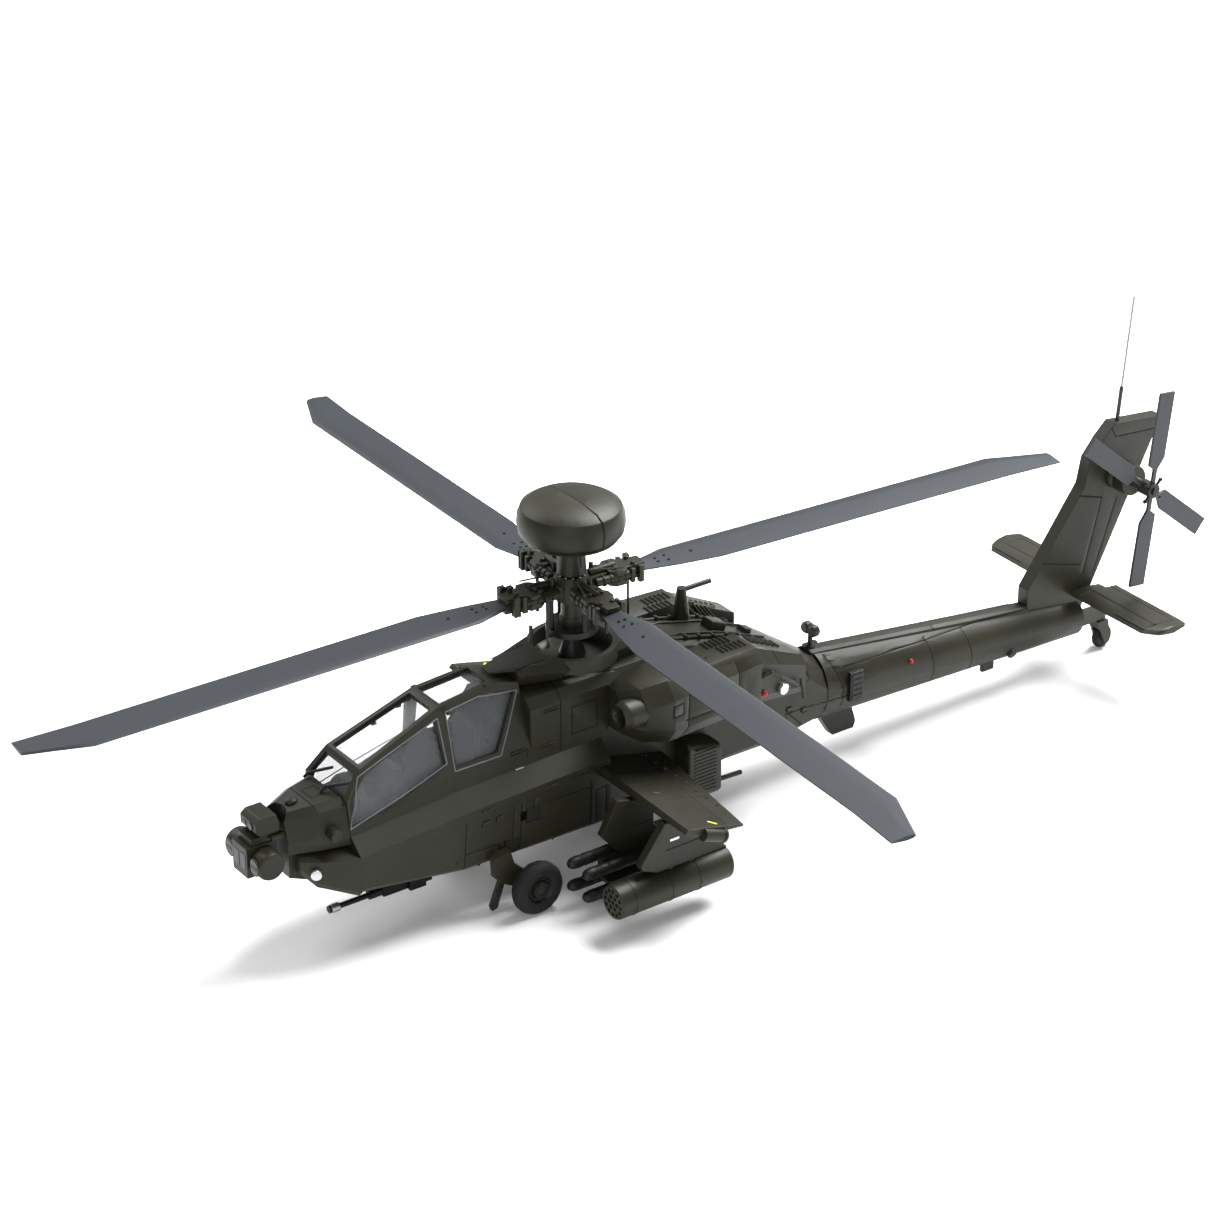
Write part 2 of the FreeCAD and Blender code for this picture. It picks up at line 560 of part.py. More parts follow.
def instrument_panels():
    panels = []
    for name, y, low, high in (("gunner_panel", "gunner_panel_y", "tub_floor_z + tub_wall", "28.4"),
                               ("pilot_panel", "pilot_panel_y", "tub_floor_z + tub_wall", "33.0")):
        panel = body(name)
        profile = outline(panel, "XZ_Plane", name + "_face", (
            ("-panel_width / 2", low), ("panel_width / 2", low), ("panel_width / 2", "(%s) - 1.8" % high),
            ("panel_width / 2 - 1.8", high), ("-panel_width / 2 + 1.8", high),
            ("-panel_width / 2", "(%s) - 1.8" % high)))
        pad(panel, profile, "panel_thick")
        panels.append(put(panel, y="(%s) + panel_thick" % y))
    group("instrument_panels", *panels)


def sill_height(y):
    """Height of the hull's upper edge beside the cockpit."""
    middle = size("sill_mid_y")
    if y < middle:
        share = (y - size("nose_root_y")) / (middle - size("nose_root_y"))
        return size("sill_front_z") + share * (size("sill_mid_z") - size("sill_front_z"))
    share = (y - middle) / (size("cockpit_end_y") - middle)
    return size("sill_mid_z") + share * (size("sill_rear_z") - size("sill_mid_z"))


def canopy_rings(shrink):
    half = size("hull_half")
    share = (size("sill_mid_y") - size("brow_y")) / (size("crest_y") - size("brow_y"))
    frames = ((size("nose_root_y"), size("screen_half"), size("screen_z")),
              (size("screen_top_y"), size("screen_top_half"), size("screen_top_z")),
              (size("brow_y"), size("brow_half"), size("brow_z")),
              (size("sill_mid_y"), size("brow_half"),
               size("brow_z") + share * (size("crest_z") - size("brow_z"))),
              (size("crest_y"), size("crest_half"), size("crest_z")),
              (size("cockpit_end_y"), size("crest_half"), size("roof_end_z")))
    rings = []
    for y, top_half, top in frames:
        sill = sill_height(y)
        rings.append([(half - shrink, y, sill), (top_half - shrink, y, top - shrink),
                      (-(top_half - shrink), y, top - shrink), (-(half - shrink), y, sill)])
    return rings


def canopy_shell(outside, inside, ahead, behind):
    """The skin between two offsets of the canopy form, closed at the front only by the screen."""
    outer = loft(canopy_rings(outside)).common(block((-20, size("nose_root_y") + outside, 0),
                                                     (20, size("cockpit_end_y"), 60)))
    room = block((-20, size("nose_root_y") + ahead, 0), (20, size("cockpit_end_y") - behind, 60))
    inner = loft(canopy_rings(inside)).common(room)
    return outer.cut(inner)


def windows():
    """Side panes as prisms through both flanks, roof panes as prisms from above."""
    bar = size("window_bar")
    front = [(-49.9, 23.9), (-43.0, 25.0), (-30.9, 29.2), (-31.6, 37.3), (-46.0, 32.2), (-48.9, 28.9)]
    rear = [(-28.8, 28.4), (-20.6, 28.6), (-15.2, 37.6), (-20.2, 38.8), (-29.4, 37.9)]
    cuts = []
    for pane in (front, rear):
        for sign in (1, -1):
            face = Part.Face(Part.makePolygon([V(sign * 2.6, y, z) for y, z in pane + pane[:1]]))
            cuts.append(face.extrude(V(sign * 8, 0, 0)))
    screen_low, screen_top = size("screen_half"), size("screen_top_half")
    panes = (((size("nose_root_y"), screen_low - bar),
              (size("screen_top_y") - 0.5, screen_top - bar + 0.3)),
             ((size("screen_top_y") + 0.6, screen_top - bar + 0.1),
              (size("brow_y") - 1.0, size("brow_half") - bar + 0.2)),
             ((size("brow_y") + 0.7, size("brow_half") - bar + 0.2),
              (size("crest_y") - 0.2, size("crest_half") - bar + 0.2)))
    for (y_low, half_low), (y_high, half_high) in panes:
        corners = [(half_low, y_low), (half_high, y_high), (-half_high, y_high), (-half_low, y_low)]
        face = Part.Face(Part.makePolygon([V(x, y, 27.6) for x, y in corners + corners[:1]]))
        cuts.append(face.extrude(V(0, 0, 16)))
    return cuts


def canopy():
    wall, glass = size("canopy_wall"), size("glass_wall")
    frame = canopy_shell(0, wall, wall, 0)
    shaped("canopy_frame", frame.cut(windows()))
    pane = canopy_shell(wall, wall + glass, wall + glass, 0)
    shaped("canopy_glass", pane)


# ---------------------------------------------------------------- rotor head

def mast_fairing():
    """Raised cowl on the roof with the open well that the mast stands in."""
    front, rear = size("fairing_front_y"), size("fairing_rear_y")
    top, deck = size("fairing_top_z"), size("deck_z")
    half = size("fairing_half")
    roof = size("crest_z") + 0.05
    well = size("well_radius")
    back_end = size("cockpit_end_y")
    cowl = loft([
        [(2.4, back_end, deck), (size("fairing_nose_half") + 1.6, back_end, top - 1.0),
         (size("fairing_nose_half"), back_end, top), (-size("fairing_nose_half"), back_end, top),
         (-size("fairing_nose_half") - 1.6, back_end, top - 1.0), (-2.4, back_end, deck)],
        [(size("deck_half"), -6, deck), (half - 1.4, -6, top - 1.6), (half - 2.4, -6, top),
         (-half + 2.4, -6, top),
         (-half + 1.4, -6, top - 1.6), (-size("deck_half"), -6, deck)],
        [(size("deck_half"), rear, deck), (half - 3.0, rear, top - 1.6), (half - 3.6, rear, top - 0.6),
         (-half + 3.6, rear, top - 0.6), (-half + 3.0, rear, top - 1.6), (-size("deck_half"), rear, deck)]])
    ring = Part.makeCylinder(half, top - deck - 1.2, V(0, 0, deck + 1.2), Z_AXIS)
    nose = loft([
        [(1.2, front, roof), (1.2, front, top - 0.2), (-1.2, front, top - 0.2), (-1.2, front, roof)],
        [(size("fairing_nose_half") + 0.4, back_end, roof), (size("fairing_nose_half"), back_end, top),
         (-size("fairing_nose_half"), back_end, top), (-size("fairing_nose_half") - 0.4, back_end, roof)]])
    hole = Part.makeCylinder(well, 12, V(0, 0, deck + 0.6), Z_AXIS)
    foot = Part.makeCylinder(size("spindle_foot_r"), 6, V(0, 0, deck - 1), Z_AXIS)
    shaped("mast_fairing", cowl.fuse([ring, nose]).removeSplitter().cut([hole, foot]))


def rotor_spindle():
    """Fixed spindle: the rotor head turns on it and the radome sits on its top."""
    spindle = body("rotor_spindle")
    shoulder = "deck_z + 1.6"
    profile = outline(spindle, "XZ_Plane", "spindle_profile", (
        ("0", "spindle_foot_z"), ("spindle_foot_r", "spindle_foot_z"), ("spindle_foot_r", shoulder),
        ("spindle_r", "sleeve_low_z - 1"), ("spindle_r", "radome_seat_z + 1.6"),
        ("0", "radome_seat_z + 1.6")))
    spun(spindle, profile)
    put(spindle)


def radome():
    dome = body("radome")
    top = "radome_z + radome_height"
    profile = outline(dome, "XZ_Plane", "radome_profile", (
        ("spindle_r", "radome_seat_z"), ("radome_foot_r", "radome_seat_z"),
        ("radome_waist - 0.8", "radome_z - 1.4"),
        ("radome_waist", "radome_z - 0.5"), ("radome_r * 0.62", "radome_z + 0.3"),
        ("radome_r * 0.86", "radome_z + radome_height * 0.16"),
        ("radome_r * 0.97", "radome_z + radome_height * 0.32"),
        ("radome_r", "radome_z + radome_height * 0.5"),
        ("radome_r * 0.985", "radome_z + radome_height * 0.68"),
        ("radome_r * 0.93", "radome_z + radome_height * 0.84"),
        ("radome_top_r", "radome_z + radome_height - 0.5"),
        ("radome_top_r * 0.45", top), ("0", top), ("0", "radome_seat_z + 1.6"),
        ("spindle_r", "radome_seat_z + 1.6")))
    spun(dome, profile)
    put(dome)


def rotor_hub():
    """Turning sleeve, hub drum and four arms."""
    hub = body("rotor_hub")
    bore = "spindle_r + turn_gap"
    low, high = "hub_z - hub_height / 2", "hub_z + hub_height / 2"
    profile = outline(hub, "XZ_Plane", "hub_profile", (
        (bore, "sleeve_low_z"), ("sleeve_r", "sleeve_low_z"), ("sleeve_r", "plate_z + plate_height + 1.4"),
        ("sleeve_r - 0.3", "plate_z + plate_height + 1.8"), ("sleeve_r - 0.3", "(%s) - 0.6" % low),
        ("hub_radius", low), ("hub_radius", "(%s) - 1.2" % high), ("hub_radius - 0.7", high), (bore, high)))
    spun(hub, profile)
    arm = outline(hub, "XY_Plane", "hub_arm", (
        ("hub_radius - 0.6", "-arm_width / 2"), ("arm_reach", "-arm_width / 2 + 0.4"),
        ("arm_reach", "arm_width / 2 - 0.4"), ("hub_radius - 0.6", "arm_width / 2")),
        away="hub_z - arm_height / 2")
    around(hub, [pad(hub, arm, "arm_height")], "Z_Axis", 4)
    put(hub, rotation=FreeCAD.Rotation(Z_AXIS, size("rotor_turn")))


def swashplate():
    """Tilting plate on the sleeve with four pitch links up to the grips."""
    plate = body("swashplate")
    pad(plate, circles(plate, "XY_Plane", "plate_disc", (("0", "0", "plate_r"), ("0", "0", "sleeve_r")),
                       away="plate_z"), "plate_height")
    link = circles(plate, "XY_Plane", "pitch_link", (("link_x", "0", "link_r"),),
                   away="plate_z + plate_height")
    reach = "hub_z - arm_height / 2 - plate_z - plate_height"
    around(plate, [pad(plate, link, reach)], "Z_Axis", 4)
    put(plate, rotation=FreeCAD.Rotation(Z_AXIS, size("rotor_turn")))


def flapped(thing, index):
    """Turns an arm's piece to its place on the hub and tilts it up or down about the arm's end."""
    turn = FreeCAD.Rotation(Z_AXIS, size("rotor_turn") + 90 * index)
    tilt = FreeCAD.Rotation(Y_AXIS, -size("flap_%d" % (index + 1)))
    hinge = V(size("arm_reach"), 0, size("hub_z"))
    base = turn.multVec(hinge - tilt.multVec(hinge))
    return put(thing, base.x, base.y, base.z, turn.multiply(tilt))


def blade_grips():
    """Four forked grips with their lag dampers and pins."""
    grips = []
    for index in range(4):
        grip = body("grip_%d" % (index + 1))
        plan = outline(grip, "XY_Plane", "grip_plan_%d" % index, (
            ("arm_reach + flap_gap", "-grip_width / 2"), ("arm_reach + 1.2", "-grip_width / 2 - 0.9"),
            ("grip_end - 3.4", "-grip_width / 2 - 0.9"), ("grip_end - 3.0", "-grip_width / 2"),
            ("grip_end + 0.9", "-grip_width / 2 + 0.5"), ("grip_end + 0.9", "grip_width / 2 - 0.5"),
            ("grip_end - 3.0", "grip_width / 2"), ("grip_end - 3.4", "grip_width / 2 + 0.9"),
            ("arm_reach + 1.2", "grip_width / 2 + 0.9"), ("arm_reach + flap_gap", "grip_width / 2")),
            away="hub_z - grip_height / 2")
        pad(grip, plan, "grip_height")
        fork = outline(grip, "XZ_Plane", "grip_fork_%d" % index, (
            ("grip_end - 2", "hub_z - blade_thick / 2 - 0.02"),
            ("grip_end + 3", "hub_z - blade_thick / 2 - 0.02"),
            ("grip_end + 3", "hub_z + blade_thick / 2 + 0.02"),
            ("grip_end - 2", "hub_z + blade_thick / 2 + 0.02")),
            away="-5")
        pocket(grip, fork, "10", back=True)
        grips.append(flapped(grip, index))
    group("blade_grips", *grips)


def blade_ring(r, nose, tail):
    """One aerofoil section across a main blade, at a distance from the mast."""
    z, half, edge = size("hub_z"), size("blade_thick / 2"), size("blade_edge")
    chord = nose - tail
    return [(r, nose, z), (r, nose - 0.1 * chord, z + 0.75 * half), (r, nose - 0.36 * chord, z + half),
            (r, tail, z + edge), (r, tail, z - edge), (r, nose - 0.36 * chord, z - half),
            (r, nose - 0.1 * chord, z - 0.75 * half)]


def main_blades():
    """Long swept-tip blades; the leading edge faces the way the rotor turns."""
    nose, tail, root = size("blade_nose"), size("blade_nose - blade_chord"), size("blade_root_chord / 2")
    rings = [blade_ring(size("grip_end") - 2, root - 0.6, 0.6 - root),
             blade_ring(size("blade_root_r") + 1.2, root, -root),
             blade_ring(size("blade_cuff_r"), nose, (tail - root) / 2),
             blade_ring(size("blade_full_r"), nose, tail),
             blade_ring(size("blade_kink_r"), nose, tail),
             blade_ring(size("rotor_radius"), size("blade_tip_nose"), tail - size("blade_tip_sweep"))]
    for index in range(4):
        flapped(shaped("main_blade_%d" % (index + 1), loft(rings)), index)


# ---------------------------------------------------------------- engines

def nacelle_ring(y, inner, outer, low, top, corner):
    return [(inner, y, low), (outer - corner * 0.7, y, low), (outer, y, low + corner),
            (outer, y, top - corner),
            (outer - corner * 0.8, y, top), (inner, y, top)]


def engine_nacelles():
    half, outer = size("hull_half"), size("nacelle_outer")
    low, top, corner = size("nacelle_low_z"), size("nacelle_top_z"), size("nacelle_corner")
    rings = [nacelle_ring(size("nacelle_front_y - 2.4"), half, outer - 6.4, low + 2.2, top - 2.0, 1.4),
             nacelle_ring(size("nacelle_front_y"), half, outer - 1.4, low + 1.0, top - 0.8, corner),
             nacelle_ring(size("nacelle_full_y"), half, outer, low, top, corner),
             nacelle_ring(size("nacelle_rear_y"), half, outer - 1.6, low, top - 0.2, corner - 0.6)]
    shape = loft(rings)
    seat = Part.makeCylinder(size("intake_r"), 5.6,
                             V(size("intake_x"), size("nacelle_front_y - 4"), size("intake_z")),
                             Y_AXIS)
    relief = block((0, size("nacelle_front_y - 3"), low - 1),
                   (size("hull_half"), size("nacelle_rear_y + 1"), top + 2))
    port = shaped("engine_nacelle_left", shape.cut([seat, relief]))
    mirrored("engine_nacelle_right", port)


def engine_intakes():
    intakes = []
    intake = body("intake_port")
    back = "intake_length + 1.6"
    profile = outline(intake, "XZ_Plane", "intake_profile", (
        ("0", "-2"), ("intake_mouth - 0.4", "-2"), ("intake_mouth", "-(%s) + 0.6" % back),
        ("intake_r - 0.6", "-(%s)" % back), ("intake_r", "-(%s) + 1.2" % back), ("intake_r", "0"),
        ("0", "0")))
    spun(intake, profile)
    put(intake, "intake_x", "nacelle_front_y + 1.6", "intake_z", FreeCAD.Rotation(X_AXIS, -90))
    intakes.append(intake)
    group("engine_intakes", intake, mirrored("intake_starboard", intake))


def engine_exhausts():
    """Rear suppressor boxes with the outlet slots let in from behind."""
    half = size("hull_half")
    start, finish = size("nacelle_rear_y"), size("exhaust_rear_y")
    outer, low, top = size("nacelle_outer - 1.9"), size("nacelle_low_z + 0.3"), size("nacelle_top_z - 0.5")
    rings = [nacelle_ring(start, half, outer, low, top, 2.4),
             nacelle_ring(finish, half, size("exhaust_outer"), size("exhaust_low_z"),
                          size("exhaust_top_z"), 1.6)]
    shape = loft(rings)
    slots = []
    for index in range(3):
        base = V(half + 1.0 + index * 1.75, finish - 2.4, size("exhaust_low_z") + 1.4)
        slots.append(Part.makeBox(1.25, 4, size("exhaust_top_z - exhaust_low_z") - 2.6, base))
    port = shaped("exhaust_port", shape.cut(slots))
    group("engine_exhausts", port, mirrored("exhaust_starboard", port))


# ---------------------------------------------------------------- wings and stores

def wing_ring(x, z, chord, thick, front):
    fall = size("wing_fall") * chord / size("wing_chord")
    return [(x, front, z - thick * 0.45), (x, front + 0.7, z + 0.1),
            (x, front + chord * 0.35, z - fall * 0.27),
            (x, front + chord, z - fall), (x, front + chord, z - fall - 0.35),
            (x, front + chord * 0.35, z - fall * 0.35 - thick), (x, front + 0.8, z - thick)]


def wings():
    front = size("wing_root_y")
    rings = [wing_ring(size("hull_half"), size("wing_root_z"), size("wing_chord"), size("wing_thick"),
                       front),
             wing_ring(size("wing_tip_x"), size("wing_root_z - wing_drop"), size("wing_tip_chord"),
                       size("tip_thick"),
                       front + size("wing_sweep"))]
    pieces = loft(rings).cut(doc.getObject("avionics_bay_left").Shape).Solids
    port = shaped("wing_left", max(pieces, key=lambda piece: piece.Volume))
    mirrored("wing_right", port)


def wing_low_z(x, y):
    """Height of the wing's underside at a place."""
    share = (x - size("hull_half")) / (size("wing_tip_x") - size("hull_half"))
    chord = size("wing_chord") * (1 - share) + size("wing_tip_chord") * share
    thick = size("wing_thick") * (1 - share) + size("tip_thick") * share
    front = size("wing_root_y") + size("wing_sweep") * share
    z = size("wing_root_z") - size("wing_drop") * share
    fall = size("wing_fall") * chord / size("wing_chord")
    along = (y - front) / chord
    if along < 0.35:
        start, end = z - thick, z - fall * 0.35 - thick
        return start + (end - start) * (along * chord - 0.8) / (0.35 * chord - 0.8)
    start, end = z - fall * 0.35 - thick, z - fall - 0.35
    return start + (end - start) * (along - 0.35) / 0.65


def pylon(name, x, bottom, crown, brow, toe, heel_y):
    """A swept pylon cut to the wing's underside."""
    half = size("pylon_width") / 2
    profile = [(crown + 9, 40), (heel_y - 3.4, 40), (heel_y - 3.4, bottom + 3.6), (heel_y, bottom),
               (toe[0] + 3.2, bottom),
               toe, brow, (crown, size("wing_root_z"))]
    face = Part.Face(Part.makePolygon([V(x - half, y, z) for y, z in profile + profile[:1]]))
    blank = face.extrude(V(2 * half, 0, 0))
    under = [[(place, y, wing_low_z(place, y)) for y in (-9, -2, 1.4, 10, 16)] + [(place, 16, 60),
                                                                                  (place, -9, 60)]
             for place in (size("hull_half"), size("wing_tip_x"))]
    lower = blank.cut([doc.getObject("wing_left").Shape, loft(under)])
    return shaped(name, min(lower.Solids, key=lambda piece: piece.BoundBox.ZMin))


def pylons():
    inner = pylon("pylon_inner_port", size("inner_x"), size("rack_z + missile_half_z + 0.7"), -4.6,
                  (-8.3, 14.0),
                  (-7.7, 13.1), 6.0)
    outer = pylon("pylon_outer_port", size("outer_x"), size("pod_z + pod_r") + 0.02, -1.0, (-7.3, 12.5),
                  (-6.9, 11.5), 11.2)
    starboard = [mirrored("pylon_inner_starboard", inner), mirrored("pylon_outer_starboard", outer)]
    group("pylons", inner, outer, *starboard)


def rocket_pods():
    """Nineteen-tube launcher with a dished face and two strap grooves."""
    for name, sign in (("rocket_pod_left", 1), ("rocket_pod_right", -1)):
        pod = body(name)
        profile = outline(pod, "XZ_Plane", name + "_profile", (
            ("0", "0"), ("pod_r - 0.15", "0"), ("pod_r", "0.3"), ("pod_r", "pod_length * 0.45"),
            ("pod_r - 0.1", "pod_length * 0.45"), ("pod_r - 0.1", "pod_length * 0.45 + 0.25"),
            ("pod_r", "pod_length * 0.45 + 0.25"), ("pod_r", "pod_length * 0.695"),
            ("pod_r - 0.1", "pod_length * 0.695"),
            ("pod_r - 0.1", "pod_length * 0.695 + 0.25"), ("pod_r", "pod_length * 0.695 + 0.25"),
            ("pod_r", "pod_length - 0.5"), ("pod_r - 0.5", "pod_length"), ("0", "pod_length")))
        spun(pod, profile)
        centre = circles(pod, "XY_Plane", name + "_tube", (("0", "0", "tube_r"),))
        pocket(pod, centre, "tube_depth", back=True)
        for ring, count in (("1", 6), ("2", 12)):
            drawing = circles(pod, "XY_Plane", name + "_tubes_" + ring,
                              (("tube_ring * %s * 0.97" % ring, "0", "tube_r"),))
            around(pod, [pocket(pod, drawing, "tube_depth", back=True)], "Z_Axis", count)
        put(pod, "%d * outer_x" % sign, "pod_front_y", "pod_z", FreeCAD.Rotation(X_AXIS, -90))


def missile_racks():
    """Cross-shaped launcher under each inner pylon with four rails."""
    z = size("rack_z")
    half_x, half_z, r = size("missile_half_x"), size("missile_half_z"), size("missile_r")
    rail = size("rail_height")
    front, rear = size("missile_front_y") + 5.0, size("missile_front_y + missile_length") - 5.0
    x = size("inner_x")
    web = block((x - 0.6, front, z - half_z + r + 0.0), (x + 0.6, rear, z + half_z + 0.7))
    pieces = [web]
    for level in (1, -1):
        base = z + level * half_z
        top = base + r + rail if level > 0 else base + r + rail
        pieces.append(block((x - half_x - 0.7, front, base + r), (x + half_x + 0.7, rear, top)))
    whole = pieces[0].fuse(pieces[1:]).removeSplitter()
    above = block((x - 9, front - 5, z + half_z + 0.7), (x + 9, rear + 9, z + 30))
    port = shaped("missile_rack_left", whole.cut(above))
    mirrored("missile_rack_right", port)


def missile_shape():
    """One missile along +Y: domed seeker, ringed body, four tail fins."""
    r, length = size("missile_r"), size("missile_length")
    profile = [(0, 0), (r * 0.55, 0.15), (r * 0.85, 0.6), (r, 1.5), (r, 2.6), (r * 0.93, 2.75),
               (r * 0.93, 3.1),
               (r, 3.25), (r, 5.2), (r * 0.95, 5.35), (r * 0.95, 5.6), (r, 5.75), (r, length), (0, length)]
    face = Part.Face(Part.makePolygon([V(x, y, 0) for x, y in profile + profile[:1]]))
    shape = face.revolve(V(0, 0, 0), Y_AXIS, 360)
    span, plate = size("fin_span"), size("fin_plate")
    for turn in (45, 135, 225, 315):
        fin = block((r * 0.6, length - 4.6, -plate / 2), (r + span, length - 0.6, plate / 2))
        fin.rotate(V(0, 0, 0), Y_AXIS, turn)
        shape = shape.fuse(fin)
    return shape.removeSplitter()


def missiles():
    z = size("rack_z")
    port = []
    for level in (1, -1):
        for side in (1, -1):
            copy = missile_shape()
            copy.translate(V(size("inner_x") + side * size("missile_half_x"), size("missile_front_y"),
                             z + level * size("missile_half_z")))
            port.append(copy)
    left = shaped("missiles_left", Part.makeCompound(port))
    mirrored("missiles_right", left)


# ---------------------------------------------------------------- undercarriage

def gear_legs():
    leg = body("gear_leg_left")
    plate = outline(leg, "YZ_Plane", "leg_plate", (
        ("trunnion_y - 1.7", "trunnion_z + 0.6"), ("trunnion_y - 1.5", "trunnion_z - 3.4"),
        ("trunnion_y - 0.4", "trunnion_z - 4.6"), ("wheel_y - 1.0", "wheel_r - 1.2"),
        ("wheel_y + 1.0", "wheel_r - 0.8"),
        ("wheel_y + 1.1", "wheel_r + 0.9"), ("trunnion_y + 2.4", "trunnion_z - 1.6"),
        ("trunnion_y + 1.6", "trunnion_z + 1.2")),
        away="leg_x")
    pad(leg, plate, "leg_thick")
    cutter = outline(leg, "YZ_Plane", "wire_cutter", (
        ("trunnion_y - 0.4", "trunnion_z - 4.6"), ("trunnion_y + 0.9", "trunnion_z - 4.6"),
        ("trunnion_y - 0.9", "1.3"),
        ("trunnion_y - 2.0", "1.0"), ("trunnion_y - 2.2", "1.9")), away="leg_x + 0.2")
    pad(leg, cutter, "0.8")
    pin = circles(leg, "YZ_Plane", "trunnion_pin", (("trunnion_y", "trunnion_z", "trunnion_r"),),
                  away="hull_half - hull_wall - 0.8")
    pad(leg, pin, "leg_x - hull_half + hull_wall + 1.2")
    axle = circles(leg, "YZ_Plane", "axle_pin", (("wheel_y", "wheel_r", "axle_r"),), away="leg_x + 0.4")
    pad(leg, axle, "wheel_x + wheel_width / 2 - leg_x - 0.6")
    put(leg)
    mirrored("gear_leg_right", leg)


def wheel_pair(side):
    """Tyre pressed on a rim that turns on its axle."""
    sign = 1 if side == "left" else -1
    half = "wheel_width / 2"
    rim = body("rim_" + side)
    rim_profile = outline(rim, "XZ_Plane", "rim_profile_" + side, (
        ("axle_r + turn_gap", "-(%s) + 0.1" % half), ("1.5", "-(%s) + 0.1" % half),
        ("1.8", "-(%s) + 0.7" % half),
        ("rim_r - 0.4", "-(%s) + 0.7" % half), ("rim_r", "-(%s) + 0.3" % half),
        ("rim_r", "(%s) - 0.3" % half),
        ("rim_r - 0.4", "(%s) - 0.7" % half), ("1.8", "(%s) - 0.7" % half), ("1.5", "(%s) - 0.1" % half),
        ("axle_r + turn_gap", "(%s) - 0.1" % half)))
    spun(rim, rim_profile)
    tyre = body("tyre_" + side)
    tyre_profile = outline(tyre, "XZ_Plane", "tyre_profile_" + side, (
        ("rim_r", "-(%s) + 0.3" % half), ("rim_r + 0.5", "-(%s)" % half), ("wheel_r - 1.0", "-(%s)" % half),
        ("wheel_r - 0.25", "-(%s) + 0.6" % half), ("wheel_r", "-(%s) + 1.2" % half),
        ("wheel_r", "(%s) - 1.2" % half),
        ("wheel_r - 0.25", "(%s) - 0.6" % half), ("wheel_r - 1.0", half), ("rim_r + 0.5", half),
        ("rim_r", "(%s) - 0.3" % half)))
    spun(tyre, tyre_profile)
    for piece in (rim, tyre):
        put(piece, "%d * wheel_x" % sign, "wheel_y", "wheel_r", FreeCAD.Rotation(Y_AXIS, 90))


def tail_wheel_set():
    """Bracket on the boom, castoring fork and the small tail wheel."""
    pin_y = "tail_wheel_y - castor_lead"
    arm = loft([[(1.6, size("boom_end_y"), size("boom_end_z - 2.4")),
                 (1.6, size("boom_end_y"), size("boom_end_z - 0.4")),
                 (-1.6, size("boom_end_y"), size("boom_end_z - 0.4")),
                 (-1.6, size("boom_end_y"), size("boom_end_z - 2.4"))],
                [(1.2, size(pin_y) + 1.2, size("bracket_low_z")),
                 (1.2, size(pin_y) + 1.2, size("bracket_top_z")),
                 (-1.2, size(pin_y) + 1.2, size("bracket_top_z")),
                 (-1.2, size(pin_y) + 1.2, size("bracket_low_z"))]])
    hole = Part.makeCylinder(size("fork_pin_r + turn_gap"), 8,
                             V(0, size(pin_y), size("bracket_low_z") - 2), Z_AXIS)
    shaped("tail_bracket", arm.cut(hole))
    half = "tail_wheel_width / 2 + fork_gap"
    fork = body("tail_fork")
    crown = outline(fork, "XY_Plane", "fork_crown", (
        ("-(%s) - fork_arm" % half, "-1.0"), ("(%s) + fork_arm" % half, "-1.0"),
        ("(%s) + fork_arm" % half, "castor_lead"),
        ("-(%s) - fork_arm" % half, "castor_lead")), away="fork_top_z - 1.4")
    pad(fork, crown, "1.4")
    for name, start in (("fork_arm_port", half), ("fork_arm_starboard", "-(%s) - fork_arm" % half)):
        cheek = outline(fork, "YZ_Plane", name, (
            ("-1.0", "fork_top_z"), ("castor_lead - 0.7", "tail_wheel_r - 0.7"),
            ("castor_lead + 0.7", "tail_wheel_r - 0.7"),
            ("castor_lead + 0.7", "tail_wheel_r + 0.9"), ("castor_lead", "fork_top_z")), away=start)
        pad(fork, cheek, "fork_arm")
    pin = circles(fork, "XY_Plane", "castor_pin", (("0", "0", "fork_pin_r"),), away="fork_top_z - 0.2")
    pad(fork, pin, "bracket_top_z - fork_top_z + 0.2")
    axle = circles(fork, "YZ_Plane", "fork_axle", (("castor_lead", "tail_wheel_r", "fork_pin_r"),),
                   away="-(%s)" % half)
    pad(fork, axle, "2 * (%s)" % half)
    put(fork, y=pin_y)
    wheel = body("tail_wheel")
    profile = outline(wheel, "XZ_Plane", "tail_wheel_profile", (
        ("fork_pin_r + turn_gap", "-tail_wheel_width / 2 + 0.2"), ("1.1", "-tail_wheel_width / 2 + 0.2"),
        ("1.4", "-tail_wheel_width / 2"), ("tail_wheel_r - 0.5", "-tail_wheel_width / 2"),
        ("tail_wheel_r", "-tail_wheel_width / 2 + 0.5"), ("tail_wheel_r", "tail_wheel_width / 2 - 0.5"),
        ("tail_wheel_r - 0.5", "tail_wheel_width / 2"), ("1.4", "tail_wheel_width / 2"),
        ("1.1", "tail_wheel_width / 2 - 0.2"), ("fork_pin_r + turn_gap", "tail_wheel_width / 2 - 0.2")))
    spun(wheel, profile)
    put(wheel, "0", "tail_wheel_y", "tail_wheel_r", FreeCAD.Rotation(Y_AXIS, 90))


# ---------------------------------------------------------------- tail

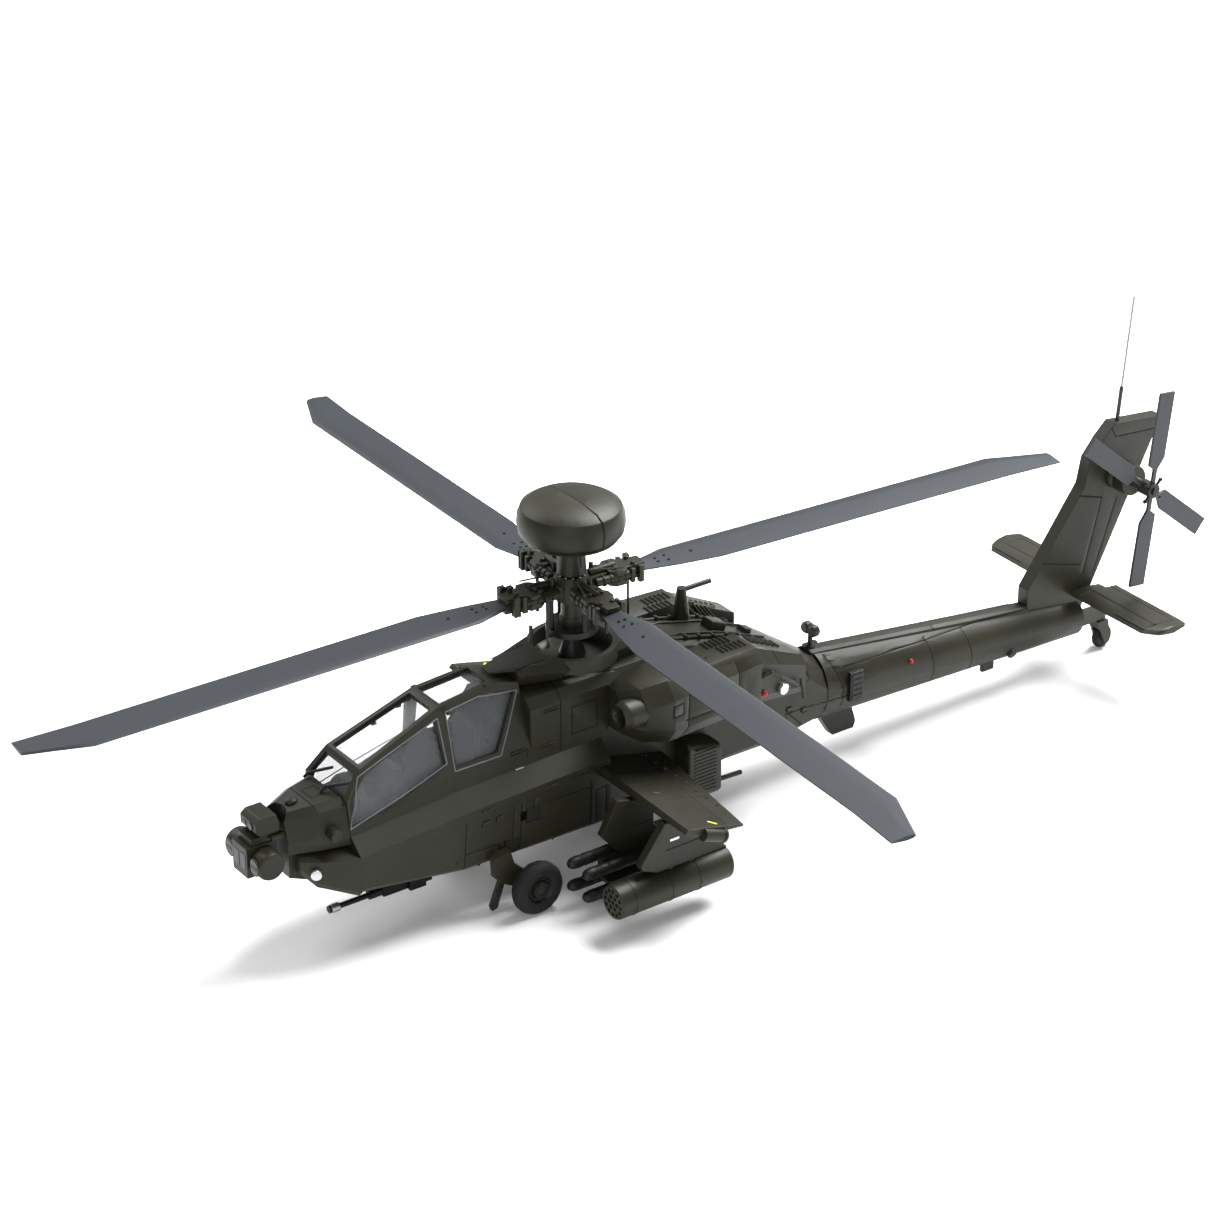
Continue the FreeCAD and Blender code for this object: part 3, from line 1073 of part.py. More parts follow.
def tail_fin():
    """Swept fin with the raised gear head that carries the tail rotor."""
    half = size("fin_half")
    outer = [(size("fin_low_y"), size("fin_shoulder_z")), (size("fin_knee_y"), size("fin_knee_z")),
             (size("fin_knee_y + 1.0"), size("fin_knee_z + 5.2")),
             (size("fin_knee_y + 3.8"), size("fin_knee_z + 8.6")),
             (size("fin_top_y"), size("fin_top_z")), (size("fin_tip_y"), size("fin_tip_z")),
             (size("fin_rear_y"), size("fin_rear_z")), (size("boom_end_y"), size("boom_end_z")),
             (size("fin_low_y"), size("fin_low_z"))]
    blade = Part.Face(Part.makePolygon([V(-half, y, z) for y, z in outer + outer[:1]])).extrude(V(2 * half,
                                                                                                  0, 0))
    head = Part.makeCylinder(size("gear_head_r"), size("gear_head_x + fin_half"),
                             V(-half, size("gear_head_y"), size("gear_head_z")), X_AXIS)
    snout = Part.makeCylinder(1.1, size("tail_hub_x - 1.6 - gear_head_x"),
                              V(size("gear_head_x"), size("gear_head_y"), size("gear_head_z")), X_AXIS)
    pin = Part.makeCylinder(size("tail_pin_r"), 3.4,
                            V(size("tail_hub_x") - 1.8, size("gear_head_y"), size("gear_head_z")),
                            X_AXIS)
    spar = Part.makeCylinder(size("spar_r + turn_gap"), 20, V(-10, size("stab_pivot_y"), size("stab_z")),
                             X_AXIS)
    fin = blade.fuse([head, snout, pin]).cut([spar, boom_solid(0), ridge_solid()])
    shaped("tail_fin", max(fin.Solids, key=lambda piece: piece.Volume))


def tail_rotor():
    """Hub on its pin with two crossed pairs of blades in two layers."""
    hub = body("tail_rotor_hub")
    rings = (("0", "0", "tail_hub_r"), ("0", "0", "tail_pin_r + turn_gap"))
    pad(hub, circles(hub, "XY_Plane", "tail_hub_disc", rings, away="-1.6"), "3.2")
    put(hub, "tail_hub_x", "gear_head_y", "gear_head_z", FreeCAD.Rotation(Y_AXIS, 90))
    blades = []
    for name, angle, layer in (("first", "tail_first", 1), ("second", "tail_second", -1)):
        for turn in (0, 180):
            blade = body("tail_blade_%s_%d" % (name, turn))
            plan = outline(blade, "YZ_Plane", "tail_plan_%s_%d" % (name, turn), (
                ("tail_hub_r", "-0.45"), ("tail_root - 1", "-0.45"), ("tail_root + 1.4", "-tail_chord / 2"),
                ("tail_radius", "-tail_chord / 2"), ("tail_radius", "tail_chord / 2"),
                ("tail_root", "tail_chord / 2"),
                ("tail_root - 1", "0.45"), ("tail_hub_r", "0.45")),
                away="%d * tail_layer / 2 - tail_thick / 2" % layer)
            pad(blade, plan, "tail_thick")
            spin = FreeCAD.Rotation(X_AXIS, size(angle) + turn)
            blades.append(put(blade, "tail_hub_x", "gear_head_y", "gear_head_z", spin))
    trimmed = []
    for index, blade in enumerate(blades):
        bore = rod("tail_bore_%d" % index, ("tail_hub_x - 2", "gear_head_y", "gear_head_z"), "tail_hub_r",
                   "4", X_AXIS)
        trimmed.append(cut("tail_blade_%d" % (index + 1), blade, bore))
    group("tail_blades", *trimmed)


def stab_ring(x, front, rear):
    """A thin aerofoil across the tailplane."""
    half, chord, z = size("stab_thick / 2"), rear - front, size("stab_z")
    nose, crest = front + 0.12 * chord, front + 0.45 * chord
    return [(x, front, z), (x, nose, z + half * 0.75), (x, crest, z + half), (x, rear, z + 0.15),
            (x, rear, z - 0.15),
            (x, crest, z - half), (x, nose, z - half * 0.75)]


def stabilator():
    """All-moving tailplane on a spar through the foot of the fin."""
    front, rear, half = size("stab_front_y"), size("stab_rear_y"), size("stab_half")
    root = size("fin_half + stab_gap")
    port = loft([stab_ring(root, front, rear - 2.4), stab_ring(root + 2.2, front, rear - 2.2),
                 stab_ring(root + 2.3, front, rear), stab_ring(half - 2.6, front + 0.2, rear),
                 stab_ring(half - 0.5, front + 2.2, rear - 0.2), stab_ring(half, front + 4.2, rear - 0.8)])
    spar = Part.makeCylinder(size("spar_r"), 2 * half - 8,
                             V(4 - half, size("stab_pivot_y"), size("stab_z")), X_AXIS)
    starboard = port.mirror(V(0, 0, 0), X_AXIS)
    shaped("stabilator", port.fuse([starboard, spar]).removeSplitter())


def whip_antenna():
    lean = V(0, size("whip_lean"), 1).normalize()
    foot = V(0, size("whip_y"), size("fin_top_z - 0.7"))
    step = foot + lean * size("whip_step")
    low = Part.makeCylinder(size("whip_r"), size("whip_step"), foot, lean)
    high = Part.makeCylinder(size("whip_r * 0.55"), size("whip_height - whip_step"), step, lean)
    aerial = low.fuse(high).removeSplitter().cut(doc.getObject("tail_fin").Shape)
    shaped("whip_antenna", max(aerial.Solids, key=lambda piece: piece.Volume))


# ---------------------------------------------------------------- sensors, gun and small fittings

def nose_sensors():
    """Pan yoke, tilting twin drum and the separate night-sight head on top."""
    y, z = "drum_y", "drum_z"
    core = box("yoke_core", ("-yoke_half", "drum_y - yoke_reach", "drum_z - yoke_reach"),
               ("yoke_half", "drum_y + yoke_reach", "shelf_low_z - seat_gap"))
    pin = rod("yoke_pin", ("0", y, "shelf_low_z - seat_gap - 0.2"), "turret_pin_r",
              "shelf_top_z - shelf_low_z + seat_gap + 0.2")
    hole = rod("yoke_hole", ("-3", y, z), "drum_pin_r + turn_gap", "6", X_AXIS)
    cut("sensor_turret", fused("yoke_blank", core, pin), hole)
    cheek = "yoke_half + seat_gap"
    drums = [rod("drum_port", (cheek, y, z), "drum_r", "drum_half - yoke_half - seat_gap", X_AXIS),
             rod("drum_starboard", ("-drum_half", y, z), "drum_r", "drum_half - yoke_half - seat_gap",
                 X_AXIS),
             rod("drum_axle", ("-(%s) - 0.2" % cheek, y, z), "drum_pin_r", "2 * (%s) + 0.4" % cheek,
                 X_AXIS)]
    fused("sensor_drum", *drums)
    head = body("night_sensor")
    foot = "shelf_top_z + seat_gap * 2"
    side = outline(head, "YZ_Plane", "night_side", (
        ("-night_front", foot + " + 0.9"), ("-night_front + 0.8", foot), ("night_rear", foot),
        ("night_rear", foot + " + 1.6"), ("night_rear - 0.6", foot + " + night_height"),
        ("-night_front + 1.0", foot + " + night_height"), ("-night_front", foot + " + night_height - 0.8")))
    pad(head, side, "2 * night_half", middle=True)
    post = circles(head, "XY_Plane", "night_pin", (("0", "0", "night_pin_r"),), away="shelf_low_z")
    pad(head, post, "shelf_top_z - shelf_low_z + 1")
    put(head, y="night_y")


def gun_set():
    """Turntable under the belly and the gun that tips in it."""
    share = "(sill_mid_y - mount_y) / (sill_mid_y - nose_root_y)"
    top = "belly_mid_z + 0.3 + (belly_front_z - belly_mid_z - 0.3) * " + share
    plate_top = "(%s) - 0.75" % top
    disc = rod("mount_disc", ("0", "mount_y", "(%s) - mount_height" % plate_top), "mount_r", "mount_height")
    pin = rod("mount_pin", ("0", "mount_y", plate_top), "gun_pin_r * 2", "3")
    cheeks = []
    for name, low, high in (("port", "gun_width / 2 + 0.1", "gun_width / 2 + 0.1 + gun_cheek"),
                            ("starboard", "-gun_width / 2 - 0.1 - gun_cheek", "-gun_width / 2 - 0.1")):
        cheeks.append(box("gun_cheek_" + name, (low, "mount_y - 1.6", "gun_z - 0.9"),
                          (high, "mount_y + 1.6", "(%s) - mount_height" % plate_top)))
    hole = rod("gun_pin_hole", ("-4", "mount_y", "gun_z"), "gun_pin_r + turn_gap", "8", X_AXIS)
    cut("gun_mount", fused("gun_mount_blank", disc, pin, *cheeks), hole)
    receiver = box("gun_receiver", ("-gun_width / 2", "mount_y - 6.5", "gun_z - 0.8"),
                   ("gun_width / 2", "mount_y + 3.4", "gun_z + 0.8"))
    barrel = rod("gun_barrel", ("0", "gun_front_y", "gun_z"), "gun_r", "mount_y - 6 - gun_front_y", Y_AXIS)
    sleeve = rod("gun_sleeve", ("0", "mount_y - 9", "gun_z"), "gun_r * 1.7", "3", Y_AXIS)
    muzzle = rod("gun_muzzle", ("0", "gun_front_y - 0.4", "gun_z"), "gun_r * 1.35", "1.6", Y_AXIS)
    trunnion = rod("gun_trunnion", ("-gun_width / 2 - gun_cheek - 0.1", "mount_y", "gun_z"), "gun_pin_r",
                   "gun_width + 2 * gun_cheek + 0.2", X_AXIS)
    fused("chain_gun", receiver, barrel, sleeve, muzzle, trunnion)


def boom_sensor():
    """Stalk with a pair of round warning sensors at the root of the boom."""
    y, z, r = size("sensor_y"), size("sensor_z"), size("sensor_r")
    foot = size("boom_root_z + boom_root_r - 0.3")
    stalk = Part.makeCylinder(size("stalk_r"), z - foot, V(0, y, foot), Z_AXIS)
    plate = Part.makeCylinder(size("stalk_r * 2"), 1.2, V(0, y, foot), Z_AXIS)
    heads = []
    for side in (1, -1):
        profile = [(0, -0.8 * r), (0.7 * r, -0.8 * r), (r, -0.4 * r), (r, 0.4 * r), (0.7 * r, 0.8 * r),
                   (0, 0.8 * r)]
        face = Part.Face(Part.makePolygon([V(across, along, 0) for across, along in profile + profile[:1]]))
        head = face.revolve(V(0, 0, 0), Y_AXIS, 360)
        head.translate(V(side * r * 0.8, y, z))
        heads.append(head)
    seated("boom_sensor", stalk.fuse([plate] + heads).removeSplitter())


def seated(name, blank):
    """Trims a fitting to the hull that it stands on and keeps the part outside."""
    hull = [doc.getObject("fuselage_left").Shape, doc.getObject("fuselage_right").Shape]
    rest = blank.cut(hull)
    return shaped(name, max(rest.Solids, key=lambda piece: piece.Volume))


def pitot_mast():
    x, y, r = size("pitot_x"), size("pitot_y"), size("pitot_r")
    height = size("pitot_height")
    foot = size("deck_z - 2.6")
    post = Part.makeCone(r * 1.6, r * 0.8, height + 1.2, V(x, y, foot), Z_AXIS)
    head = Part.makeCylinder(r * 0.45, size("pitot_rod"), V(x, y - 0.6, foot + height + 0.7), Y_AXIS)
    seated("pitot_mast", post.fuse(head).removeSplitter())


def belly_antenna():
    front, length = size("strake_front_y"), size("strake_length")
    half, drop = size("strake_half"), size("strake_drop")
    low = size("boom_root_z - boom_root_r")
    profile = [(front, low + 3), (front + length * 0.5, low - drop), (front + length * 0.95, low - drop),
               (front + length, low - drop + 1.4), (front + length * 0.8, low + 3)]
    blank = Part.Face(Part.makePolygon([V(-half, y, z) for y,
                                        z in profile + profile[:1]])).extrude(V(2 * half, 0, 0))
    cutter = boom_solid(0).fuse(loft(aft_rings(0)))
    rest = blank.cut(cutter)
    shaped("belly_antenna", min(rest.Solids, key=lambda piece: piece.BoundBox.ZMin))


NODES = [
    "fuselage_left", "fuselage_right", "belly_chassis", "fuselage_screws", "nose_fairing", "chin_fairings",
    "avionics_bay_left", "avionics_bay_right", "cockpit_tub", "instrument_panels", "crew_seats",
    "canopy_frame",
    "canopy_glass", "mast_fairing", "rotor_spindle", "radome", "engine_nacelle_left",
    "engine_nacelle_right",
    "engine_intakes", "engine_exhausts", "wing_left", "wing_right", "pylons", "rocket_pod_left",
    "rocket_pod_right",
    "missile_rack_left", "missile_rack_right", "missiles_left", "missiles_right", "gear_leg_left",
    "gear_leg_right",
    "tail_fin", "whip_antenna", "pitot_mast", "boom_sensor", "belly_antenna", "equipment_boxes",
    "tail_bracket",
    "rotor_hub", "blade_grips", "main_blade_1", "main_blade_2", "main_blade_3", "main_blade_4",
    "swashplate",
    "tail_rotor_hub", "tail_blades", "tyre_left", "rim_left", "tyre_right", "rim_right", "stabilator",
    "tail_fork",
    "tail_wheel", "gun_mount", "chain_gun", "sensor_turret", "sensor_drum", "night_sensor",
]


def build():
    fuselage_halves()
    fuselage_screws()
    belly_chassis()
    nose_fairing()
    chin_fairings()
    avionics_bays()
    equipment_boxes()
    cockpit_tub()
    crew_seats()
    instrument_panels()
    canopy()
    mast_fairing()
    rotor_spindle()
    radome()
    rotor_hub()
    swashplate()
    blade_grips()
    main_blades()
    engine_nacelles()
    engine_intakes()
    engine_exhausts()
    wings()
    pylons()
    rocket_pods()
    missile_racks()
    missiles()
    gear_legs()
    for side in ("left", "right"):
        wheel_pair(side)
    tail_wheel_set()
    tail_fin()
    tail_rotor()
    stabilator()
    whip_antenna()
    nose_sensors()
    gun_set()
    boom_sensor()
    pitot_mast()
    belly_antenna()
    doc.recompute()


def check():
    for thing in doc.Objects:
        if "Invalid" in thing.State or "Error" in thing.State:
            raise RuntimeError(thing.Name + " did not build: " + str(thing.State))
    for name in NODES:
        shape = doc.getObject(name).Shape
        if shape.isNull() or not shape.isValid() or not shape.Solids:
            raise RuntimeError(name + " has no sound shape")


def export():
    box_all = FreeCAD.BoundBox()
    for name in NODES:
        box_all.add(doc.getObject(name).Shape.BoundBox)
    shift = V(0, -(box_all.YMin + box_all.YMax) / 2, -box_all.ZMin)
    print("shift", shift, "box", box_all)
    for name in NODES:
        shape = doc.getObject(name).Shape.translated(shift)
        shape.exportStep("parts/%s.step" % name)


build()
check()
export()
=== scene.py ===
"""The looks of a small display helicopter: paint, clear panes, fine fittings, floor, light and camera."""
import json
import math

import bmesh
import bpy
from mathutils import Matrix, Vector
from mathutils.bvhtree import BVHTree


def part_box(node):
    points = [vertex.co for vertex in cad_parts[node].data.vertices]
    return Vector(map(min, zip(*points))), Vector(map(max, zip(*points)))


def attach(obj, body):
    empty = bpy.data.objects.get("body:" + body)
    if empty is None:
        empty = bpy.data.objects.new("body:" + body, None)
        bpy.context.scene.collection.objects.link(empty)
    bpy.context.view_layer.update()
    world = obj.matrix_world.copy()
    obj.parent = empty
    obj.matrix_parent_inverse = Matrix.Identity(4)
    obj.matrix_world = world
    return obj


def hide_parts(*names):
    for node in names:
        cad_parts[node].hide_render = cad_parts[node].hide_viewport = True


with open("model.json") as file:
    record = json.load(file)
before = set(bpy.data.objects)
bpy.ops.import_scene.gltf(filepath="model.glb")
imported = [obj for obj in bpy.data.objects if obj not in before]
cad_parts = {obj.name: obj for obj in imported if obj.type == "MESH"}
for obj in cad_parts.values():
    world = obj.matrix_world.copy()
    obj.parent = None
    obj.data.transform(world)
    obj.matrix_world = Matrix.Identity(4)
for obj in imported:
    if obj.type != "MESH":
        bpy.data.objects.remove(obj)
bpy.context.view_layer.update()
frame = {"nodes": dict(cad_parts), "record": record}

bl_info = {
    "name": "Display helicopter looks",
    "version": (1, 0, 0),
    "blender": (4, 5, 0),
    "location": "3D View > Sidebar > Helicopter",
    "description": "Paints and details the small display helicopter and sets its stage",
    "category": "Object",
}

MM = 0.001
LOW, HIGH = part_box("radome")
MAST = Vector(((LOW.x + HIGH.x) / 2, (LOW.y + HIGH.y) / 2, 0))
X, Y, Z = Vector((1, 0, 0)), Vector((0, 1, 0)), Vector((0, 0, 1))

# Pieces are drawn in millimetres from the foot of the rotor mast: nose to -Y, port to +X.
TO_FRAME = Matrix.Translation(MAST) @ Matrix.Scale(MM, 4)

ROTOR_PLANE = 51.7
ROTOR_TURN = -4.2
TAIL_HUB = (9.6, 126.9, 38.0)
POD_X, POD_Z = 29.6, 7.0
DRUM_X, DRUM_FRONT, DRUM_Z = 4.0, -66.9, 20.8
CREASE = 28
ENGINE_CREASE = 14
THIN_SHARE = 0.35


def span(node):
    """The two corners of a CAD node's box, in millimetres from the foot of the mast."""
    return [(corner - MAST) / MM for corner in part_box(node)]


# ---------------------------------------------------------------- sizes and colours

class PaintColours(bpy.types.PropertyGroup):
    """The paints that a user would change."""

    def shade(label, text, value):
        return bpy.props.FloatVectorProperty(
            name=label, description=text, default=value, size=3, min=0, max=1, subtype="COLOR")

    olive: shade("Olive", "Main paint of the airframe", (0.0145, 0.014, 0.0072))
    olive_dark: shade("Dark olive", "Paint in corners and worn patches", (0.0092, 0.009, 0.0046))
    blade: shade("Blade grey", "Main rotor blades", (0.02, 0.0235, 0.0285))
    tail_blade: shade("Tail blade grey", "Tail rotor blades", (0.034, 0.038, 0.043))
    metal: shade("Dark metal", "Gun, rotor head fittings and rims", (0.009, 0.009, 0.0082))
    rubber: shade("Tyre black", "Tyres", (0.007, 0.007, 0.0075))
    lining: shade("Cockpit grey", "Cockpit lining and panels", (0.04, 0.042, 0.043))
    seat: shade("Seat black", "Crew seats", (0.03, 0.03, 0.031))
    sealant: shade("Window edge", "Pale sealant line around the panes", (0.11, 0.125, 0.14))


class FittingSizes(bpy.types.PropertyGroup):
    """The small sizes that the fittings share."""

    soft_edge: bpy.props.FloatProperty(
        name="Edge radius", description="Rounding of the painted edges", default=0.14 * MM,
        min=0, max=1 * MM, unit="LENGTH", precision=5)
    line_width: bpy.props.FloatProperty(
        name="Panel line width", description="Width of a panel line", default=0.26 * MM,
        min=0, max=1 * MM, unit="LENGTH", precision=5)
    line_depth: bpy.props.FloatProperty(
        name="Panel line depth", description="Depth of a panel line", default=0.14 * MM,
        min=0, max=1 * MM, unit="LENGTH", precision=5)


def colours():
    return bpy.context.scene.helicopter_paints


def sizes():
    return bpy.context.scene.helicopter_sizes


# ---------------------------------------------------------------- shader maths

class Shade:
    """One output of a shader node, used like a number."""

    def __init__(self, finish, socket):
        self.finish = finish
        self.socket = socket

    def maths(self, operation, *values):
        return self.finish.node("ShaderNodeMath", {"operation": operation}, *values)

    def __add__(self, other):
        return self.maths("ADD", self, other)

    def __radd__(self, other):
        return self.maths("ADD", other, self)

    def __mul__(self, other):
        return self.maths("MULTIPLY", self, other)

    def __rmul__(self, other):
        return self.maths("MULTIPLY", other, self)

    def __lt__(self, other):
        return self.maths("LESS_THAN", self, other)

    def __gt__(self, other):
        return self.maths("GREATER_THAN", self, other)


class Finish:
    """A node material that is built up in a few lines."""

    def __init__(self, name):
        self.material = bpy.data.materials.new(name)
        self.material.use_nodes = True
        self.tree = self.material.node_tree
        self.tree.nodes.clear()
        self.output = self.tree.nodes.new("ShaderNodeOutputMaterial")
        self.place = Shade(self, self.tree.nodes.new("ShaderNodeTexCoord").outputs["Object"])

    def fill(self, socket, value):
        if isinstance(value, Shade):
            self.tree.links.new(value.socket, socket)
        elif hasattr(socket, "default_value"):
            if socket.type == "RGBA" and len(value) == 3:
                value = (*value, 1)
            socket.default_value = value

    def node(self, kind, settings=None, *values, output=0, **named):
        """Adds a node: its settings first, then its inputs by order or by name."""
        node = self.tree.nodes.new(kind)
        for name, value in (settings or {}).items():
            setattr(node, name, value)
        for socket, value in zip(node.inputs, values):
            self.fill(socket, value)
        for name, value in named.items():
            self.fill(node.inputs[name.replace("_", " ")], value)
        return Shade(self, node.outputs[output])

    def axes(self):
        """The three Object coordinates, in millimetres from the foot of the mast."""
        moved = self.node("ShaderNodeVectorMath", {"operation": "SUBTRACT"}, self.place, tuple(MAST))
        scaled = self.node("ShaderNodeVectorMath", {"operation": "MULTIPLY"}, moved, (1000, 1000, 1000))
        return [self.node("ShaderNodeSeparateXYZ", None, scaled, output=i) for i in range(3)]

    def noise(self, per_metre, detail=3):
        return self.node("ShaderNodeTexNoise", None, Vector=self.place, Scale=per_metre, Detail=detail)

    def mix(self, factor, a, b):
        node = self.tree.nodes.new("ShaderNodeMix")
        node.data_type = "RGBA"
        for socket, value in zip((node.inputs[0], node.inputs[6], node.inputs[7]), (factor, a, b)):
            self.fill(socket, value)
        return Shade(self, node.outputs[2])

    def spread(self, value, low, high):
        """Maps 0..1 noise onto low..high."""
        return value * (high - low) + low

    def bump(self, height, strength, distance):
        return self.node("ShaderNodeBump", None, Strength=strength, Distance=distance, Height=height)

    def close(self, **inputs):
        """Ends the material with the main shader and its own settings."""
        shader = self.node("ShaderNodeBsdfPrincipled", None, **inputs)
        self.tree.links.new(shader.socket, self.output.inputs["Surface"])
        return self.material


SPRAY_GRAIN = 1900
SPRAY_DEPTH = 0.04 * MM
SATIN = 0.24


def toned(colour, share):
    """The same colour with its light scaled."""
    return [c * share for c in colour]


def paint(name, light, dark, rough=(0.38, 0.52), patch=70, grain=0.25, metallic=0.0):
    """Satin model paint: slow cloudy shifts of tone with a fine sprayed grain."""
    finish = Finish(name)
    cloud = finish.noise(patch, 4)
    speck = finish.noise(SPRAY_GRAIN, 2)
    tone = finish.node("ShaderNodeMapRange", None, cloud, 0.35, 0.66, 0, 1)
    colour = finish.mix(tone, dark, light)
    colour = finish.mix(speck * 0.25, colour, toned(light, 1.5))
    rough_map = finish.spread(finish.noise(240, 3), *rough)
    return finish.close(Base_Color=colour, Roughness=rough_map, Metallic=metallic, Specular_IOR_Level=SATIN,
                        Normal=finish.bump(speck, grain, SPRAY_DEPTH))


# ---------------------------------------------------------------- making pieces

def finished(name, bm, finishes, body, smooth=40, even=True):
    """Turns a bmesh into a piece that rides on a body, with creases kept sharp."""
    name = name.replace(" ", "_")
    mesh = bpy.data.meshes.new(name)
    bmesh.ops.recalc_face_normals(bm, faces=bm.faces)
    bm.transform(TO_FRAME)
    bm.to_mesh(mesh)
    bm.free()
    piece = bpy.data.objects.new(name, mesh)
    bpy.context.scene.collection.objects.link(piece)
    for finish in finishes if isinstance(finishes, (list, tuple)) else [finishes]:
        mesh.materials.append(finish)
    mesh.shade_smooth()
    mesh.set_sharp_from_angle(angle=math.radians(smooth))
    if even:
        piece.modifiers.new("even shading", "WEIGHTED_NORMAL").keep_sharp = True
    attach(piece, body)
    return piece


def round_edges(bm, edges, width):
    bmesh.ops.bevel(bm, geom=list(edges), offset=width, segments=2, profile=0.5,
                    affect="EDGES", material=-1, clamp_overlap=True)


def brick(bm, low, high, soft=0.0, seat=Matrix.Identity(4)):
    """A box between two corners, with rounded edges, set on a seat."""
    low, high = Vector(low), Vector(high)
    made = bmesh.ops.create_cube(bm, size=1)["verts"]
    for vert in made:
        vert.co = seat @ Vector([low[i] + (high[i] - low[i]) * (vert.co[i] + 0.5) for i in range(3)])
    if soft:
        round_edges(bm, {edge for vert in made for edge in vert.link_edges}, soft)


class Skin:
    """The outside of some CAD nodes, for setting fittings on it."""

    def __init__(self, *nodes):
        bm = bmesh.new()
        for node in nodes:
            bm.from_mesh(frame["nodes"][node].data)
        bm.transform(TO_FRAME.inverted())
        self.tree = BVHTree.FromBMesh(bm)
        bm.free()

    def seat(self, start, toward):
        """A place on the skin: its Z points outward and its Y runs aft."""
        spot, normal = self.tree.ray_cast(Vector(start), Vector(toward))[:2]
        if spot is None:
            spot, normal = self.tree.find_nearest(Vector(start) + 50 * Vector(toward))[:2]
        across = Y.cross(normal).normalized()
        turn = Matrix((across, normal.cross(across), normal)).transposed().to_4x4()
        return Matrix.Translation(spot) @ turn

    def top(self, x, y):
        return self.seat((x, y, 90), -Z)

    def side(self, y, z, way):
        return self.seat((way * 60, y, z), -way * X)

    def run(self, bm, points, radius, lift):
        """A bar that follows the skin through points seen from above."""
        spots = [self.top(*point) @ Vector((0, 0, lift)) for point in points]
        for start, end in zip(spots, spots[1:]):
            rod(bm, start, end, radius, sides=10)


def along(start, end):
    """Turns +Z to run from start to end, with its origin halfway."""
    start, end = Vector(start), Vector(end)
    turn = Z.rotation_difference(end - start).to_matrix().to_4x4()
    return Matrix.Translation((start + end) / 2) @ turn


def rod(bm, start, end, radius, sides=16, soft=0.0, material=0):
    """A round bar between two points."""
    length = (Vector(end) - Vector(start)).length
    made = bmesh.ops.create_cone(bm, cap_ends=True, segments=sides, radius1=radius,
                                 radius2=radius, depth=length,
                                 matrix=along(start, end))["verts"]
    faces = {face for vert in made for face in vert.link_faces}
    for face in faces:
        face.material_index = material
    if soft:
        rims = {edge for face in faces if len(face.verts) > 4 for edge in face.edges}
        round_edges(bm, rims, soft)


def ball(bm, centre, radius, squash=(1, 1, 1), sides=16):
    """A rounded lump."""
    place = Matrix.Translation(centre) @ Matrix.Diagonal((*squash, 1))
    bmesh.ops.create_uvsphere(bm, u_segments=sides, v_segments=sides // 2, radius=radius, matrix=place)


MERGE = 0.002
SLIVER = 0.004
FLAT_ANGLE = math.radians(1.2)


def copied(node):
    """A merged copy of a CAD node's mesh, ready to be softened and engraved."""
    bm = bmesh.new()
    bm.from_mesh(frame["nodes"][node].data)
    bm.transform(TO_FRAME.inverted())
    bmesh.ops.remove_doubles(bm, verts=bm.verts, dist=MERGE)
    bmesh.ops.dissolve_degenerate(bm, edges=bm.edges, dist=SLIVER)
    bmesh.ops.dissolve_limit(bm, angle_limit=FLAT_ANGLE, verts=bm.verts, edges=bm.edges)
    return bm


def soften(bm, width, angle):
    """Rounds every crease sharper than the angle."""
    limit = math.radians(angle)
    sharp = [edge for edge in bm.edges if len(edge.link_faces) == 2 and edge.calc_face_angle(0) > limit]
    round_edges(bm, sharp, width)


FACING = 0.12
OVERRUN = 1
TOUCHING = 0.01
ON_LINE = 0.004
SHORTEST = 0.002


def engrave(bm, lines, view, side):
    """Cuts fine grooves along lines drawn as seen along one axis,
    into the faces that look to the given side."""
    width, depth = sizes().line_width / MM, sizes().line_depth / MM
    across = [axis for axis in range(3) if axis != view]
    facing = Vector([side if axis == view else 0 for axis in range(3)])

    def flat(point):
        return Vector([point[axis] if axis in across else 0 for axis in range(3)])

    drawn = []
    for start, end in lines:
        first, last = Vector((0, 0, 0)), Vector((0, 0, 0))
        for axis, a, b in zip(across, start, end):
            first[axis], last[axis] = a, b
        run = (last - first).normalized()
        normal = run.cross(facing)
        drawn.append((first, last, run, normal))
        for point, cutter in ((first, normal), (first, run), (last, run)):
            chosen = set()
            for face in bm.faces:
                if face.normal.dot(facing) < FACING:
                    continue
                reach = [(flat(vert.co) - first).dot(run) for vert in face.verts]
                off = [(flat(vert.co) - first).dot(normal) for vert in face.verts]
                in_reach = max(reach) > -OVERRUN and min(reach) < (last - first).length + OVERRUN
                if in_reach and max(off) > -TOUCHING and min(off) < TOUCHING:
                    chosen.update([face, *face.edges, *face.verts])
            bmesh.ops.bisect_plane(bm, geom=list(chosen), dist=0.0005, plane_co=point, plane_no=cutter)
    grooves = set()
    for edge in bm.edges:
        if not edge.link_faces or max(face.normal.dot(facing) for face in edge.link_faces) < FACING:
            continue
        ends = [flat(vert.co) for vert in edge.verts]
        for first, last, run, normal in drawn:
            if all(abs((point - first).dot(normal)) < ON_LINE for point in ends):
                along_run = ((ends[0] + ends[1]) / 2 - first).dot(run)
                if 0 <= along_run <= (last - first).length and (ends[1] - ends[0]).length > SHORTEST:
                    grooves.add(edge)
    if grooves:
        made = bmesh.ops.bevel(bm, geom=list(grooves), offset=width / 2, segments=2, profile=0.5,
                               affect="EDGES", material=1, clamp_overlap=False)
        strip = set(made["faces"])
        for vert in {vert for face in strip for vert in face.verts}:
            if all(face in strip for face in vert.link_faces):
                vert.co -= vert.normal * depth


def chain(*points, closed=False):
    """Joins points into lines."""
    pairs = list(zip(points, points[1:]))
    return pairs + [(points[-1], points[0])] if closed else pairs


def box_lines(low, high):
    """The four sides of a rectangle given by two corners."""
    (a, b), (c, d) = low, high
    return chain((a, b), (c, b), (c, d), (a, d), closed=True)


